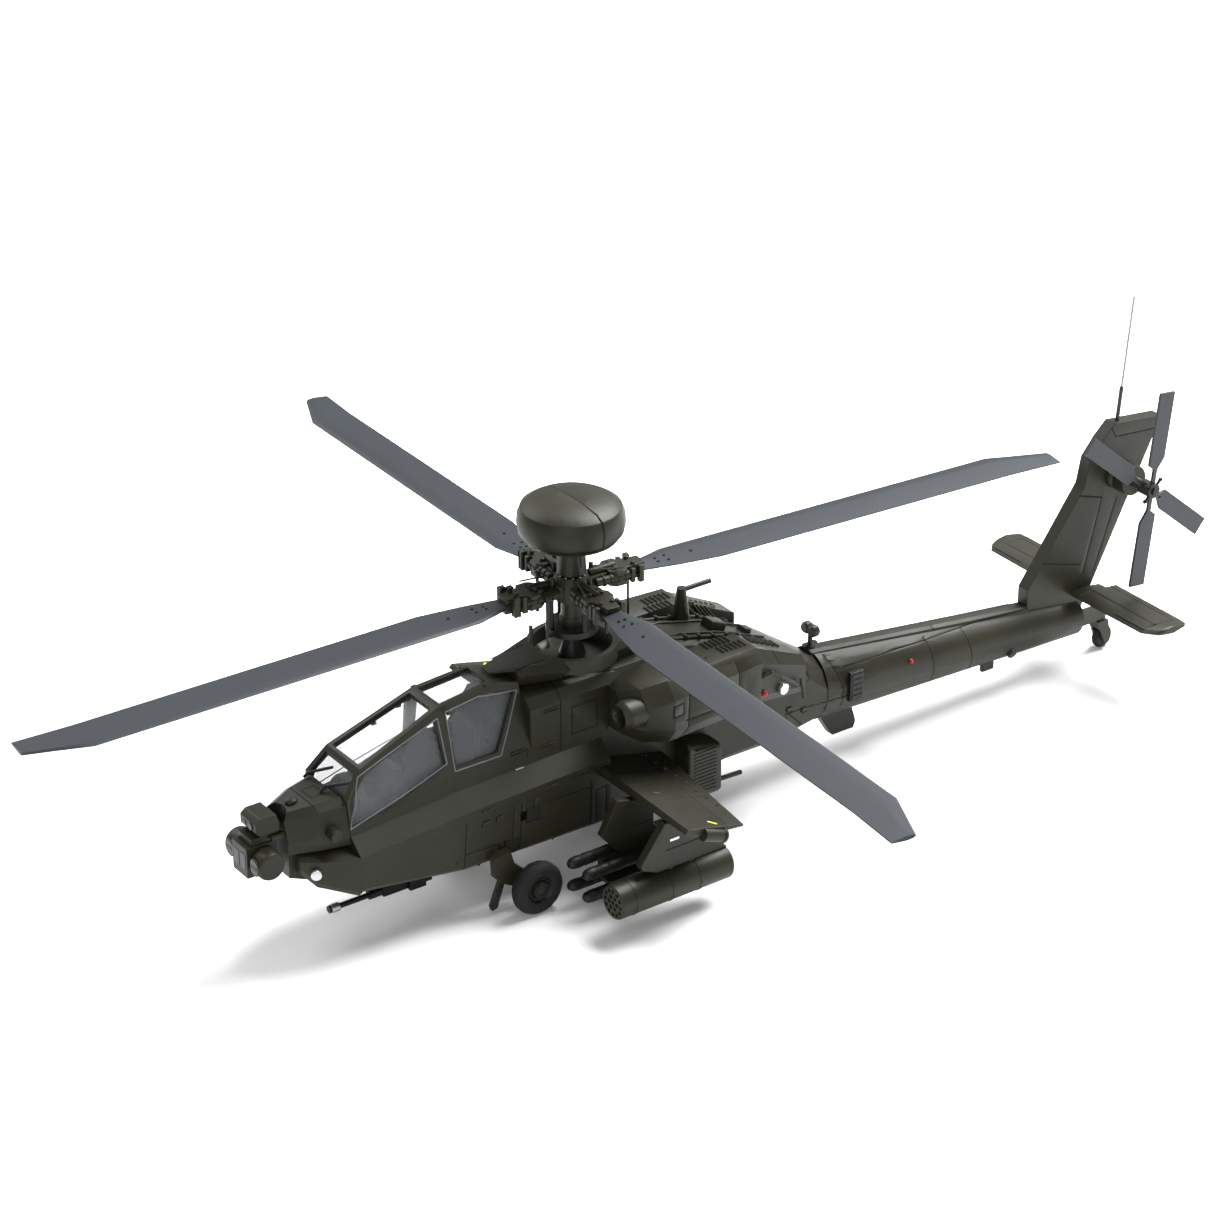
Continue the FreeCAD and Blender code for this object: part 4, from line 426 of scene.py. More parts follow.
PAINTS = {}


def mix_paints():
    """Makes every finish once."""
    p = colours()
    PAINTS["olive"] = paint("olive paint", p.olive, p.olive_dark)
    PAINTS["groove"] = paint("panel line shade", toned(p.olive, 0.32), toned(p.olive, 0.2), rough=(0.7, 0.85))
    PAINTS["blade"] = paint("main blade grey", p.blade, toned(p.blade, 0.86), rough=(0.42, 0.5), patch=45)
    PAINTS["tail blade"] = paint("tail blade grey", p.tail_blade, toned(p.tail_blade, 0.8),
                                 rough=(0.45, 0.55))
    PAINTS["metal"] = paint("dark fitting metal", p.metal, toned(p.metal, 0.6), rough=(0.3, 0.45), patch=200,
                            metallic=0.2)
    PAINTS["rubber"] = paint("tyre rubber", p.rubber, toned(p.rubber, 0.7), rough=(0.6, 0.78), patch=300,
                             grain=0.5)
    PAINTS["lining"] = paint("cockpit lining grey", p.lining, toned(p.lining, 0.7), rough=(0.55, 0.7),
                             patch=160)
    PAINTS["seat"] = paint("seat black", p.seat, toned(p.seat, 0.6), rough=(0.6, 0.75), patch=220)
    PAINTS["steel"] = paint("bare steel", (0.5, 0.5, 0.49), (0.36, 0.36, 0.36), rough=(0.2, 0.35), patch=300,
                            metallic=0.9)
    PAINTS["chassis"] = paint("inner tray grey", toned(p.lining, 0.2), toned(p.lining, 0.12),
                              rough=(0.6, 0.8))
    # A near-black paint that stands in for the shade inside recesses, used on the flat step plates.
    PAINTS["well"] = paint("well black", (0.008, 0.008, 0.007), (0.004, 0.004, 0.004), rough=(0.6, 0.8))
    PAINTS["lens"] = paint("lamp lens", (0.6, 0.62, 0.63), (0.5, 0.52, 0.54), rough=(0.08, 0.15), patch=400)
    PAINTS["dark glass"] = paint("dark window", (0.006, 0.007, 0.01), (0.003, 0.003, 0.005),
                                 rough=(0.06, 0.12), grain=0.02)
    PAINTS["red lamp"] = paint("red lamp plastic", (0.35, 0.012, 0.008), (0.2, 0.008, 0.006),
                               rough=(0.15, 0.25), patch=500)
    PAINTS["missile"] = paint("missile paint", (0.0085, 0.0085, 0.0075), (0.005, 0.005, 0.0048), patch=160)
    PAINTS["yellow"] = paint("yellow mark", (0.55, 0.6, 0.03), (0.45, 0.5, 0.02), rough=(0.4, 0.5), patch=400)
    PAINTS["white"] = paint("white mark", (0.75, 0.76, 0.76), (0.65, 0.66, 0.66), rough=(0.4, 0.5), patch=400)
    PAINTS["patch"] = paint("worn dark patch", (0.008, 0.0075, 0.007), (0.005, 0.005, 0.005),
                            rough=(0.5, 0.7), patch=400)
    PAINTS["sealant"] = paint("window sealant", p.sealant, toned(p.sealant, 0.7), rough=(0.4, 0.6), patch=300)
    PAINTS["glass"] = clear_pane()


def clear_pane():
    """Thin clear plastic, a little smoky, with faint moulding waves."""
    finish = Finish("clear pane")
    wave = finish.noise(160, 2)
    finish.material.surface_render_method = "BLENDED"
    clear = finish.spread(finish.noise(90, 2), 0.17, 0.25)
    return finish.close(Base_Color=finish.mix(wave, (0.16, 0.17, 0.18), (0.22, 0.235, 0.25)),
                        Roughness=finish.spread(wave, 0.05, 0.09), Alpha=clear)


SLOT_PAINTS = {
    "olive_paint": "olive", "blade_grey": "blade", "tail_blade_grey": "tail blade", "black_tyre": "rubber",
    "dark_metal": "metal", "clear_pane": "glass", "cockpit_grey": "lining", "seat_black": "seat",
    "steel": "steel", "missile_paint": "missile",
}


class HELICOPTER_OT_paint(bpy.types.Operator):
    """Mixes the finishes and paints every plain CAD piece"""
    bl_idname = "helicopter.paint"
    bl_label = "Paint the pieces"

    def execute(self, context):
        mix_paints()
        slots = {part["node"]: part["material_slot"] for part in frame["record"]["subparts"]}
        for name, node in frame["nodes"].items():
            node.data.materials.clear()
            node.data.materials.append(PAINTS[SLOT_PAINTS[slots[name]]])
        frame["nodes"]["rotor_spindle"].data.materials[0] = PAINTS["metal"]
        frame["nodes"]["belly_chassis"].data.materials[0] = PAINTS["chassis"]
        return {"FINISHED"}


FLANK = (chain((-7.6, 40.9), (-7.8, 25.0)) + box_lines((-5.4, 27.3), (-0.1, 32.6)) + chain((-11, 37.8),
                                                                                           (-7.6, 37.4),
                                                                                           (4.8, 36.3))
         + chain((-15.9, 40.6), (-14.7, 34.1), (-14.7, 25.8)) + chain((46.2, 26.3), (47.5, 21.0),
                                                                      (44.9, 20.2))
         + chain((54.2, 21.9), (55.8, 16.2), (55.6, 12.2)) + chain((41.7, 15.6), (48.5, 15.2), (57.5, 14.4))
         + chain((42.8, 15.3), (45.9, 12.1)) + chain((80.7, 22.4), (81.2, 18.4)) + chain((78.0, 18.3),
                                                                                         (79.0, 5))
         + chain((87.5, 17.2), (89.1, 5)) + chain((70.0, 18.6), (112.0, 15.0)) + chain((57, 19.6),
                                                                                       (70, 18.6)))
BAY = (chain((-29.4, 19.5), (-30.4, 5.8)) + chain((-3.6, 19.2), (-3.8, 8.7)) + box_lines((-2.6, 9.0),
                                                                                         (-0.4, 16.8))
       + chain((-13.4, 17.8), (-3.7, 17.7)) + chain((-19.6, 19.4), (-20.1, 13.2)) + chain((-17.9, 19.4),
                                                                                          (-18.7, 10.3))
       + chain((-15.4, 19.4), (-15.7, 16.8)) + box_lines((-17.2, 15.2),
                                                         (-14.4, 17.6)) + box_lines((-21.8, 10.6),
                                                                                    (-18.9, 12.9))
       + chain((-29.6, 13.1), (-22.8, 12.9), (-22.9, 9.3)))
NACELLE = (chain((12.8, 35.5), (12.4, 25.0)) + chain((11.9, 28.8), (25.8, 28.2)) + chain((24.2, 35.2),
                                                                                         (24.4, 25))
           + box_lines((9.2, 30.2), (11.4, 32.4)))
FIN = (chain((106.8, 26.4), (116.0, 36.4), (122.8, 34.1), (119.0, 18.8)) + chain((126.7, 33.1), (121.7, 18.2))
       + chain((107.3, 24.4), (118.2, 21.0)) + chain((123.9, 48.6), (125.4, 46.2), (136.0, 45.2)))
SHELLS = {
    "airframe": {
        "fuselage_left": (0, FLANK), "fuselage_right": (0, FLANK), "avionics_bay_left": (0, BAY),
        "avionics_bay_right": (0, BAY), "engine_nacelle_left": (0, NACELLE),
        "engine_nacelle_right": (0, NACELLE),
        "tail_fin": (0, FIN), "wing_left": (2, chain((14, -4), (14, 12)) + chain((25, -4),
                                                                                 (25, 11)) + chain((9, 8.8),
                                                                                                   (35.6,
                                                                                                    6.6))),
        "wing_right": (2, chain((-14, -4), (-14, 12)) + chain((-25, -4), (-25, 11)) + chain((-9, 8.8),
                                                                                            (-35.6, 6.6))),
        "mast_fairing": (2, chain((-3.2, -17), (-3.2, -8)) + chain((3.2, -17), (3.2, -8)) + chain((-6, 8.2),
                                                                                                  (6, 8.2))),
        "engine_exhausts": (2, chain((8.2, 31), (14.6, 34.5)) + chain((-8.2, 31), (-14.6, 34.5))),
        "nose_fairing": (2, chain((-5, -55.2), (5, -55.2)) + box_lines((-1.6, -54.2), (1.6, -51.8))),
        "chin_fairings": (2, []), "pylons": (0, chain((-2, 14), (8, 14))), "canopy_frame": (0, []),
        "radome": (0, []),
        "engine_intakes": (0, []), "rocket_pod_left": (0, []), "rocket_pod_right": (0, []),
        "missile_rack_left": (0, []), "missile_rack_right": (0, []), "missiles_left": (0, []),
        "missiles_right": (0, []),
        "gear_leg_left": (0, []), "gear_leg_right": (0, []), "equipment_boxes": (0, []),
        "belly_antenna": (0, []),
    },
    "main_rotor": {"rotor_hub": (2, []), "blade_grips": (2, []), "main_blade_1": (2, []),
                   "main_blade_2": (2, []),
                   "main_blade_3": (2, []), "main_blade_4": (2, [])},
    "tail_rotor": {"tail_rotor_hub": (0, []), "tail_blades": (0, [])},
    "wheel_left": {"tyre_left": (0, [])},
    "wheel_right": {"tyre_right": (0, [])},
    "stabilator": {"stabilator": (2, box_lines((-21.4, 119.4), (-3.2, 124)) + box_lines((3.2, 119.4),
                                                                                        (21.4, 124)))},
    "sensor_yoke": {"sensor_turret": (0, [])},
    "sensor_drum": {"sensor_drum": (0, [])},
    "night_sensor": {"night_sensor": (0, [])},
}
ROUNDER = {"sensor_drum": 1.2, "sensor_turret": 0.8, "night_sensor": 0.55, "engine_intakes": 0.3,
           "equipment_boxes": 0.5,
           "nose_fairing": 0.9, "chin_fairings": 0.4, "mast_fairing": 0.3, "engine_nacelle_left": 1.3,
           "engine_nacelle_right": 1.3, "engine_exhausts": 0.9}
PANE_FRONT = [(-50.4, 24.0), (-47.6, 32.2), (-31.0, 37.6), (-30.6, 29.6)]
PANE_REAR = [(-29.3, 38.2), (-29.3, 27.9), (-20.0, 27.9), (-14.6, 37.6), (-22.4, 38.9)]
SILL_HALF, SILL_Z, FRAME_LEAN = 7.5, 27, 0.25
TWO_SIDED = ("tail_fin", "pylons")
THIN = ("main_blade_1", "main_blade_2", "main_blade_3", "main_blade_4", "tail_blades", "canopy_frame")
MORE_LINES = {
    "radome": ((2, 1, chain((-9.4, 0.2), (9.4, 0.2))),
               (0, 1, chain((0.2, 56), (0.2, 68)) + chain((-9, 61.8), (9, 61.8))),
               (0, -1, chain((0.2, 56), (0.2, 68)) + chain((-9, 61.8), (9, 61.8))),
               (1, -1, chain((-9, 61.8), (9, 61.8)))),
    "fuselage_left": ((2, 1, chain((0.9, 60), (0.9, 104))),),
    "fuselage_right": ((2, 1, chain((-0.9, 60), (-0.9, 104))),),
}


class HELICOPTER_OT_shells(bpy.types.Operator):
    """Makes smooth, soft-edged skins with panel lines from the CAD shells"""
    bl_idname = "helicopter.shells"
    bl_label = "Shells and panel lines"

    def execute(self, context):
        slots = {part["node"]: part["material_slot"] for part in frame["record"]["subparts"]}
        for body, nodes in SHELLS.items():
            for node, (view, lines) in nodes.items():
                bm = copied(node)
                width = ROUNDER.get(node, sizes().soft_edge / MM * (THIN_SHARE if node in THIN else 1))
                soften(bm, width, ENGINE_CREASE if node.startswith("engine") else CREASE)
                starboard = node.endswith("right") and view == 0
                for side in (1, -1) if node in TWO_SIDED else (-1 if starboard else 1,):
                    engrave(bm, lines, view, side)
                for way, side, cuts in MORE_LINES.get(node, ()):
                    engrave(bm, cuts, way, side)
                finish = PAINTS["olive" if node == "engine_intakes" else SLOT_PAINTS[slots[node]]]
                round_form = node.startswith(("engine_nacelle", "radome"))
                piece = finished(node + "_skin", bm, (finish, PAINTS["groove"]), body,
                                 smooth=60 if round_form else 32, even=not round_form)
                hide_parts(node)
        return {"FINISHED"}


class HELICOPTER_OT_nose(bpy.types.Operator):
    """Adds the nose, chin and canopy fittings"""
    bl_idname = "helicopter.nose"
    bl_label = "Nose and canopy fittings"

    def execute(self, context):
        bm = bmesh.new()
        ball(bm, (0, -57.2, 28.3), 1.0, (1, 1.2, 0.55))
        for side in (1, -1):
            rod(bm, (side * 5.2, -53.4, 24.0), (side * 8.3, -53.4, 24.0), 1.15, soft=0.2)
            brick(bm, (side * 2.9 - 0.4, -63.0, 24.0), (side * 2.9 + 0.4, -59.6, 24.75), 0.15)
            rod(bm, (side * 5.6, -29.6, 38.4), (side * 5.6, -28.6, 38.5), 0.35, soft=0.1)
            for y, z in ((-25.2, 39.6), (-20.4, 40.3), (-33.4, 37.1), (-38.4, 35.3)):
                brick(bm, (side * 3.9 - 0.45, y - 0.5, z - 0.35), (side * 3.9 + 0.45, y + 0.5, z + 0.2), 0.12)
        finished("nose lumps and hinges", bm, PAINTS["olive"], "airframe")
        bm = bmesh.new()
        for side in (1, -1):
            rod(bm, (side * 7.4, -57.3, 17.9), (side * 8.2, -57.75, 17.9), 0.95, soft=0.12)
            rod(bm, (side * 8.1, -57.7, 17.9), (side * 8.28, -57.8, 17.9), 0.7, material=1)
        finished("chin lamps", bm, (PAINTS["steel"], PAINTS["lens"]), "airframe")
        bm = bmesh.new()
        for start, end in (((1.2, -51.1, 29.6), (5.2, -47.9, 31.2)),
                           ((-4.6, -51.0, 29.5), (-0.6, -48.6, 31.6)),
                           ((1.2, -51.1, 29.6), (1.2, -52.2, 28.9)),
                           ((-4.6, -51.0, 29.5), (-4.6, -52.0, 28.9))):
            rod(bm, start, end, 0.27, sides=8)
        finished("screen wipers", bm, PAINTS["metal"], "airframe")
        bm = bmesh.new()
        skin = Skin("canopy_frame")
        for side in (1, -1):
            for pane in (PANE_FRONT, PANE_REAR):
                for (y0, z0), (y1, z1) in zip(pane, pane[1:] + pane[:1]):
                    spots = []
                    for share in (0, 0.25, 0.5, 0.75, 1):
                        y, z = y0 + (y1 - y0) * share, z0 + (z1 - z0) * share
                        half = SILL_HALF - (max(z, SILL_Z) - SILL_Z) * FRAME_LEAN
                        hit = skin.tree.ray_cast(Vector((side * 20, y, z)), -side * X)[0]
                        on_frame = hit and abs(hit.x) > half - 1.2 and hit.x * side > 0
                        spots.append(Vector((hit.x if on_frame else side * half, y, z)))
                    for start, end in zip(spots, spots[1:]):
                        rod(bm, start, end, 0.12, sides=6)
        finished("window edges", bm, PAINTS["sealant"], "airframe")
        return {"FINISHED"}


class HELICOPTER_OT_sensors(bpy.types.Operator):
    """Adds the windows of the nose sensor drum, its yoke and the night sensor"""
    bl_idname = "helicopter.sensors"
    bl_label = "Sensor fittings"

    def execute(self, context):
        bm = bmesh.new()
        for side in (1, -1):
            back = (side * DRUM_X, DRUM_FRONT, DRUM_Z)
            rod(bm, back, (side * DRUM_X, -67.16, DRUM_Z), 1.35, sides=28, material=1)
            rod(bm, back, (side * DRUM_X, -67.1, DRUM_Z), 1.6, sides=28, soft=0.05)
        finished("drum windows", bm, (PAINTS["olive"], PAINTS["dark glass"]), "sensor_drum")
        front = span("sensor_turret")[0].y
        bm = bmesh.new()
        for x in (-1.05, 1.05):
            brick(bm, (x - 0.85, front - 0.06, 19.4), (x + 0.85, front + 0.3, 22.3), 0.04)
        finished("yoke windows", bm, PAINTS["dark glass"], "sensor_yoke")
        low, high = span("night_sensor")
        bm = bmesh.new()
        front = low.y + 0.05
        rod(bm, (0.9, front, high.z - 1.7), (0.9, front - 0.22, high.z - 1.7), 0.75, sides=24, soft=0.06)
        rod(bm, (0.9, front - 0.1, high.z - 1.7), (0.9, front - 0.26, high.z - 1.7), 0.55, sides=24,
            material=1)
        rod(bm, (-1.1, front, high.z - 1.9), (-1.1, front - 0.15, high.z - 1.9), 0.45, sides=20, material=1)
        finished("night sensor windows", bm, (PAINTS["olive"], PAINTS["dark glass"]), "night_sensor")
        return {"FINISHED"}


class HELICOPTER_OT_flanks(bpy.types.Operator):
    """Adds the raised fittings of the flanks and bays"""
    bl_idname = "helicopter.flanks"
    bl_label = "Flank fittings"

    def execute(self, context):
        hull = Skin("fuselage_left", "fuselage_right")
        bays = Skin("avionics_bay_left", "avionics_bay_right")
        bm = bmesh.new()
        hooks = bmesh.new()
        for side in (1, -1):
            for y, z in ((-9.6, 33.5), (-10.3, 26.8), (-16.6, 29.8)):
                seat = hull.side(y, z, side)
                brick(bm, (-0.42, -1.6, -0.1), (-0.12, 1.6, 0.22), 0.08, seat=seat)
                brick(bm, (0.12, -1.6, -0.1), (0.42, 1.6, 0.22), 0.08, seat=seat)
            for y, z, r in ((2.8, 26.2, 0.8), (-4.8, 30.6, 0.28), (-16.2, 36.0, 0.25), (-1.2, 24.6, 0.25)):
                seat = hull.side(y, z, side)
                rod(bm, seat @ Vector((0, 0, -0.1)), seat @ Vector((0, 0, 0.2)), r, sides=20, soft=0.06)
            for y, z in ((-25.4, 17.9), (-22.6, 17.9)):
                seat = bays.side(y, z, side)
                brick(bm, (-0.5, -0.9, -0.1), (0.5, 0.9, 0.35), 0.15, seat=seat)
            for y, z in ((-24.8, 20.4), (-12.0, 20.6), (-5.5, 20.4)):
                seat = bays.side(y, z, side)
                brick(bm, (-0.25, -1.5, -0.1), (0.25, 1.5, 0.25), 0.1, seat=seat)
            for y, z in ((-31.6, 12.0), (-26.4, 8.6), (-11.0, 8.6), (-5.0, 10.0), (-28.0, 16.5)):
                seat = bays.side(y, z, side)
                rod(bm, seat @ Vector((0, 0, -0.1)), seat @ Vector((0, 0, 0.12)), 0.22, sides=12)
            seat = hull.side(-16.5, 24.3, side)
            rod(hooks, seat @ Vector((0, -0.8, 0.15)), seat @ Vector((0, 0.8, 0.15)), 0.13, sides=8)
        finished("flank fittings", bm, PAINTS["olive"], "airframe")
        finished("door hooks", hooks, PAINTS["steel"], "airframe")
        bm = bmesh.new()
        # Flat near-black plates on the bay sides paint the shade inside the foot-step recesses; the skin is
        # not cut.
        for side in (1, -1):
            for y, z, across, up in ((-15.8, 16.7, 1.3, 1.3), (-20.3, 11.6, 1.2, 1.0)):
                seat = bays.side(y, z, side)
                brick(bm, (-up, -across, -0.1), (up, across, 0.03), seat=seat)
        finished("painted step recess shade", bm, PAINTS["well"], "airframe")
        boxes = Skin("equipment_boxes")
        bm = bmesh.new()
        for side in (1, -1):
            for step in range(13):
                brick(bm, (-0.16, -2.4, -0.1), (0.16, 2.4, 0.14),
                      seat=boxes.side(20.2, 9.4 + step * 0.72, side))
            rod(bm, (side * 10.4, 23.4, 9.6), (side * 10.2, 29.6, 9.2), 0.45, soft=0.15)
        finished("grille ribs", bm, PAINTS["olive"], "airframe")
        return {"FINISHED"}


class HELICOPTER_OT_deck(bpy.types.Operator):
    """Adds louvres, rails, tubes and lamps on the engine deck"""
    bl_idname = "helicopter.deck"
    bl_label = "Engine deck fittings"

    def execute(self, context):
        skin = Skin("fuselage_left", "fuselage_right", "engine_nacelle_left", "engine_nacelle_right",
                    "engine_exhausts", "mast_fairing")
        bm = bmesh.new()
        slit_shade = bmesh.new()
        lamps = bmesh.new()
        red = bmesh.new()
        for side in (1, -1):
            skin.run(bm, [(side * 4.4, y) for y in (14, 18, 22, 26, 30, 34, 37)], 0.36, 0.15)
            skin.run(bm, [(side * 2.6, y) for y in (13, 17, 21, 25, 29, 33, 37, 40)], 0.3, 0.1)
            for y in range(18, 37, 3):
                brick(bm, (-0.5, -0.3, 0), (0.5, 0.3, 0.75), 0.1, seat=skin.top(side * 4.4, y))
            for row, x in enumerate((8.4, 11.2)):
                for slat in range(6):
                    seat = skin.top(side * x, 22.0 + slat * 0.95 + row * 1.4)
                    # A dark flat plate beside each slat paints the shade inside the louvre opening; no gap is
                    # cut.
                    brick(slit_shade, (-1.15, -0.17, -0.1), (1.15, 0.17, 0.04), seat=seat)
                    brick(bm, (-1.2, 0.17, -0.1), (1.2, 0.42, 0.28), 0.06, seat=seat)
            for rib in range(6):
                skin.run(bm, [(side * (6.2 + step * 1.3), 31.8 + rib * 1.15) for step in range(4)], 0.24,
                         0.08)
            points = [skin.side(y, z, side) @ Vector((0, 0, lift)) for y, z, lift in
                      ((29.8, 30.8, 0.1), (31.4, 31.4, 0.8), (33.6, 30.0, 1.0), (38.4, 26.2, 0.8))]
            for start, end in zip(points, points[1:]):
                rod(bm, start, end, 0.36, sides=10)
                ball(bm, end, 0.42, sides=10)
            rod(bm, points[-1] + Vector((0, 0.6, 1.0)), points[-1] + Vector((0, 1.4, -3.0)), 0.32, sides=10)
            seat = skin.side(34.9, 26.7, side)
            rod(lamps, seat @ Vector((0, 0, -0.2)), seat @ Vector((0, 0, 0.9)), 1.15, sides=28, soft=0.3)
            ball(red, skin.side(30.4, 27.4, side) @ Vector((0, 0, 0.1)), 0.6)
            ball(red, skin.seat((side * 40, 72.8, 16.0), -side * X) @ Vector((0, 0, 0.05)), 0.5)
            for y, z in ((42.8, 16.3), (46.4, 15.0)):
                seat = skin.side(y, z, side)
                brick(bm, (-0.4, -0.5, -0.1), (0.4, 0.5, 0.25), 0.1, seat=seat)
            for y in (12.0, 20.0, 28.0):
                seat = skin.top(side * 12.0, y)
                rod(bm, seat @ Vector((0, 0, -0.1)), seat @ Vector((0, 0, 0.12)), 0.22, sides=12)
            seat = skin.top(side * 10.5, 15.5)
            brick(bm, (-1.6, -2.2, -0.1), (1.6, 2.2, 0.18), 0.08, seat=seat)
        rod(bm, (0, -8.6, 43.2), (0, -8.6, 46.2), 0.34)
        brick(bm, (-1.5, -1.8, -0.2), (1.5, 1.8, 1.5), 0.25, seat=skin.top(0, 30.5))
        brick(bm, (-1.2, -0.8, -0.2), (1.2, 0.8, 0.9), 0.2, seat=skin.top(0, 37.5))
        finished("deck fittings", bm, PAINTS["olive"], "airframe")
        # The louvre plates take the panel line paint, so they read as painted shade between the slats.
        finished("louvre slit shade", slit_shade, PAINTS["groove"], "airframe")
        finished("silver lamps", lamps, PAINTS["steel"], "airframe")
        finished("red lamps", red, PAINTS["red lamp"], "airframe")
        bm = bmesh.new()
        rod(bm, (-4, 14.8, 38.8), (-4, 14.8, 46.4), 0.22, sides=10)
        rod(bm, (-4, 14.8, 46.3), (-4, 14.0, 46.9), 0.22, sides=10)
        finished("hook tube", bm, PAINTS["metal"], "airframe")
        return {"FINISHED"}


class HELICOPTER_OT_rotor(bpy.types.Operator):
    """Adds the rotor head's lugs, bolts, dampers and wires"""
    bl_idname = "helicopter.rotor"
    bl_label = "Rotor head fittings"

    def execute(self, context):
        bm = bmesh.new()
        for arm in range(4):
            turn = Matrix.Rotation(math.radians(ROTOR_TURN + arm * 90), 4, "Z")

            def spot(x, y, z):
                return turn @ Vector((x, y, z))

            for x in (8.0, 11.6):
                for y in (1.15, -1.15):
                    rod(bm, spot(x, y, 49.9), spot(x, y, 53.6), 0.42, sides=12, soft=0.08)
            for y in (1.9, -1.9):
                rod(bm, spot(3.6, y, 51.8), spot(10.4, y * 1.1, 51.8), 0.8, sides=16, soft=0.2)
                for x in (5.0, 6.4, 7.8, 9.2):
                    rod(bm, spot(x, y * 1.04, 51.8), spot(x + 0.45, y * 1.05, 51.8), 0.98, sides=16)
                brick(bm, (-0.5, -0.5, -1.6), (0.5, 0.5, 1.6), 0.15,
                      seat=turn @ Matrix.Translation((12.4, y * 1.32, ROTOR_PLANE)))
                brick(bm, (-0.4, -0.4, -1.3), (0.4, 0.4, 1.3), 0.12,
                      seat=turn @ Matrix.Translation((10.8, y * 1.3, ROTOR_PLANE)))
            rod(bm, spot(3.4, 0, 53.0), spot(8.6, 0, 53.2), 0.7, sides=16, soft=0.2)
            rod(bm, spot(3.0, -1.0, 54.0), spot(9.0, -2.4, 53.6), 0.15, sides=8)
            rod(bm, spot(4.4, 0.9, 52.4), spot(4.4, 0.9, 54.4), 0.4, sides=14, soft=0.1)
            rod(bm, spot(6.6, 3.0, 44.4), spot(6.6, 3.0, ROTOR_PLANE), 0.3, sides=10)
            ball(bm, spot(6.6, 3.0, 51.9), 0.55)
        finished("rotor head fittings", bm, PAINTS["olive"], "main_rotor")
        bm = bmesh.new()
        for angle in range(0, 360, 30):
            turn = math.radians(angle)
            x, y = 2.4 * math.cos(turn), 2.4 * math.sin(turn)
            rod(bm, (x, y, 53.7), (x, y, 54.1), 0.24, sides=8)
        finished("hub bolts", bm, PAINTS["steel"], "main_rotor")
        return {"FINISHED"}


class HELICOPTER_OT_blades(bpy.types.Operator):
    """Adds the root bolts of the four main blades"""
    bl_idname = "helicopter.blades"
    bl_label = "Blade fittings"

    def execute(self, context):
        bolts = bmesh.new()
        for number in range(1, 5):
            skin = Skin("main_blade_%d" % number)
            low, high = span("main_blade_%d" % number)
            middle = (low + high) / 2
            outward = Vector((middle.x, middle.y, 0)).normalized()
            inward_edge = Vector((-outward.y, outward.x, 0))
            for reach, off in ((17.0, 0.6), (17.0, -0.6), (19.0, 0.8), (19.0, -0.8), (24.0, 0)):
                spot = outward * reach + inward_edge * off
                seat = skin.top(spot.x, spot.y)
                if abs(seat.translation.z - ROTOR_PLANE) < 3:
                    rod(bolts, seat @ Vector((0, 0, -0.1)), seat @ Vector((0, 0, 0.15)), 0.26, sides=12)
        finished("blade bolts", bolts, PAINTS["metal"], "main_rotor")
        return {"FINISHED"}


class HELICOPTER_OT_stores(bpy.types.Operator):
    """Adds bands, rims and small marks on the wings and stores, and the gun's muzzle"""
    bl_idname = "helicopter.stores"
    bl_label = "Wing and store fittings"

    def execute(self, context):
        bm = bmesh.new()
        for side in (1, -1):
            for y in (-9.4, -1.8, 4.1):
                rod(bm, (side * POD_X, y - 0.22, POD_Z), (side * POD_X, y + 0.22, POD_Z), 3.18, sides=40)
            for y in (-1.0, 3.4):
                brick(bm, (side * POD_X - 0.9, y - 0.5, 9.9), (side * POD_X + 0.9, y + 0.5, 10.5), 0.15)
            rod(bm, (side * 36.2, 1.4, 18.8), (side * 36.2, 5.6, 17.2), 1.2, sides=28, soft=0.2)
            rod(bm, (side * 36.2, 5.4, 17.3), (side * 36.2, 5.9, 17.1), 1.35, sides=28, soft=0.1)
            for number in range(8):
                seat = Matrix.Translation((side * (12 + number * 3), 6.9, 21.2))
                brick(bm, (-0.3, -0.18, -0.1), (0.3, 0.18, 0.1), seat=seat)
        finished("store bands", bm, PAINTS["olive"], "airframe")
        wings = Skin("wing_left", "wing_right")
        hangers = Skin("pylons")
        yellow, white, dashes = bmesh.new(), bmesh.new(), bmesh.new()
        for side in (1, -1):
            seat = wings.top(side * 34.7, 4.5) @ Matrix.Rotation(side * 0.8, 4, "Z")
            brick(yellow, (-0.85, -0.22, -0.05), (0.85, 0.22, 0.05), seat=seat)
            brick(white, (-0.22, -0.95, -0.05), (0.22, 0.95, 0.06), seat=hangers.side(-0.2, 15.7, side))
            seat = wings.top(side * 22.3, 2.0) @ Matrix.Rotation(side, 4, "Z")
            brick(dashes, (-0.6, -0.07, -0.05), (0.6, 0.07, 0.03), seat=seat)
        finished("yellow marks", yellow, PAINTS["yellow"], "airframe")
        finished("wing dashes", dashes, PAINTS["sealant"], "airframe")
        finished("white marks", white, PAINTS["white"], "airframe")
        muzzle = bmesh.new()
        rod(muzzle, (0, -50.62, 4.6), (0, -49.0, 4.6), 0.84, sides=20, soft=0.08)
        finished("muzzle", muzzle, PAINTS["steel"], "gun")
        return {"FINISHED"}


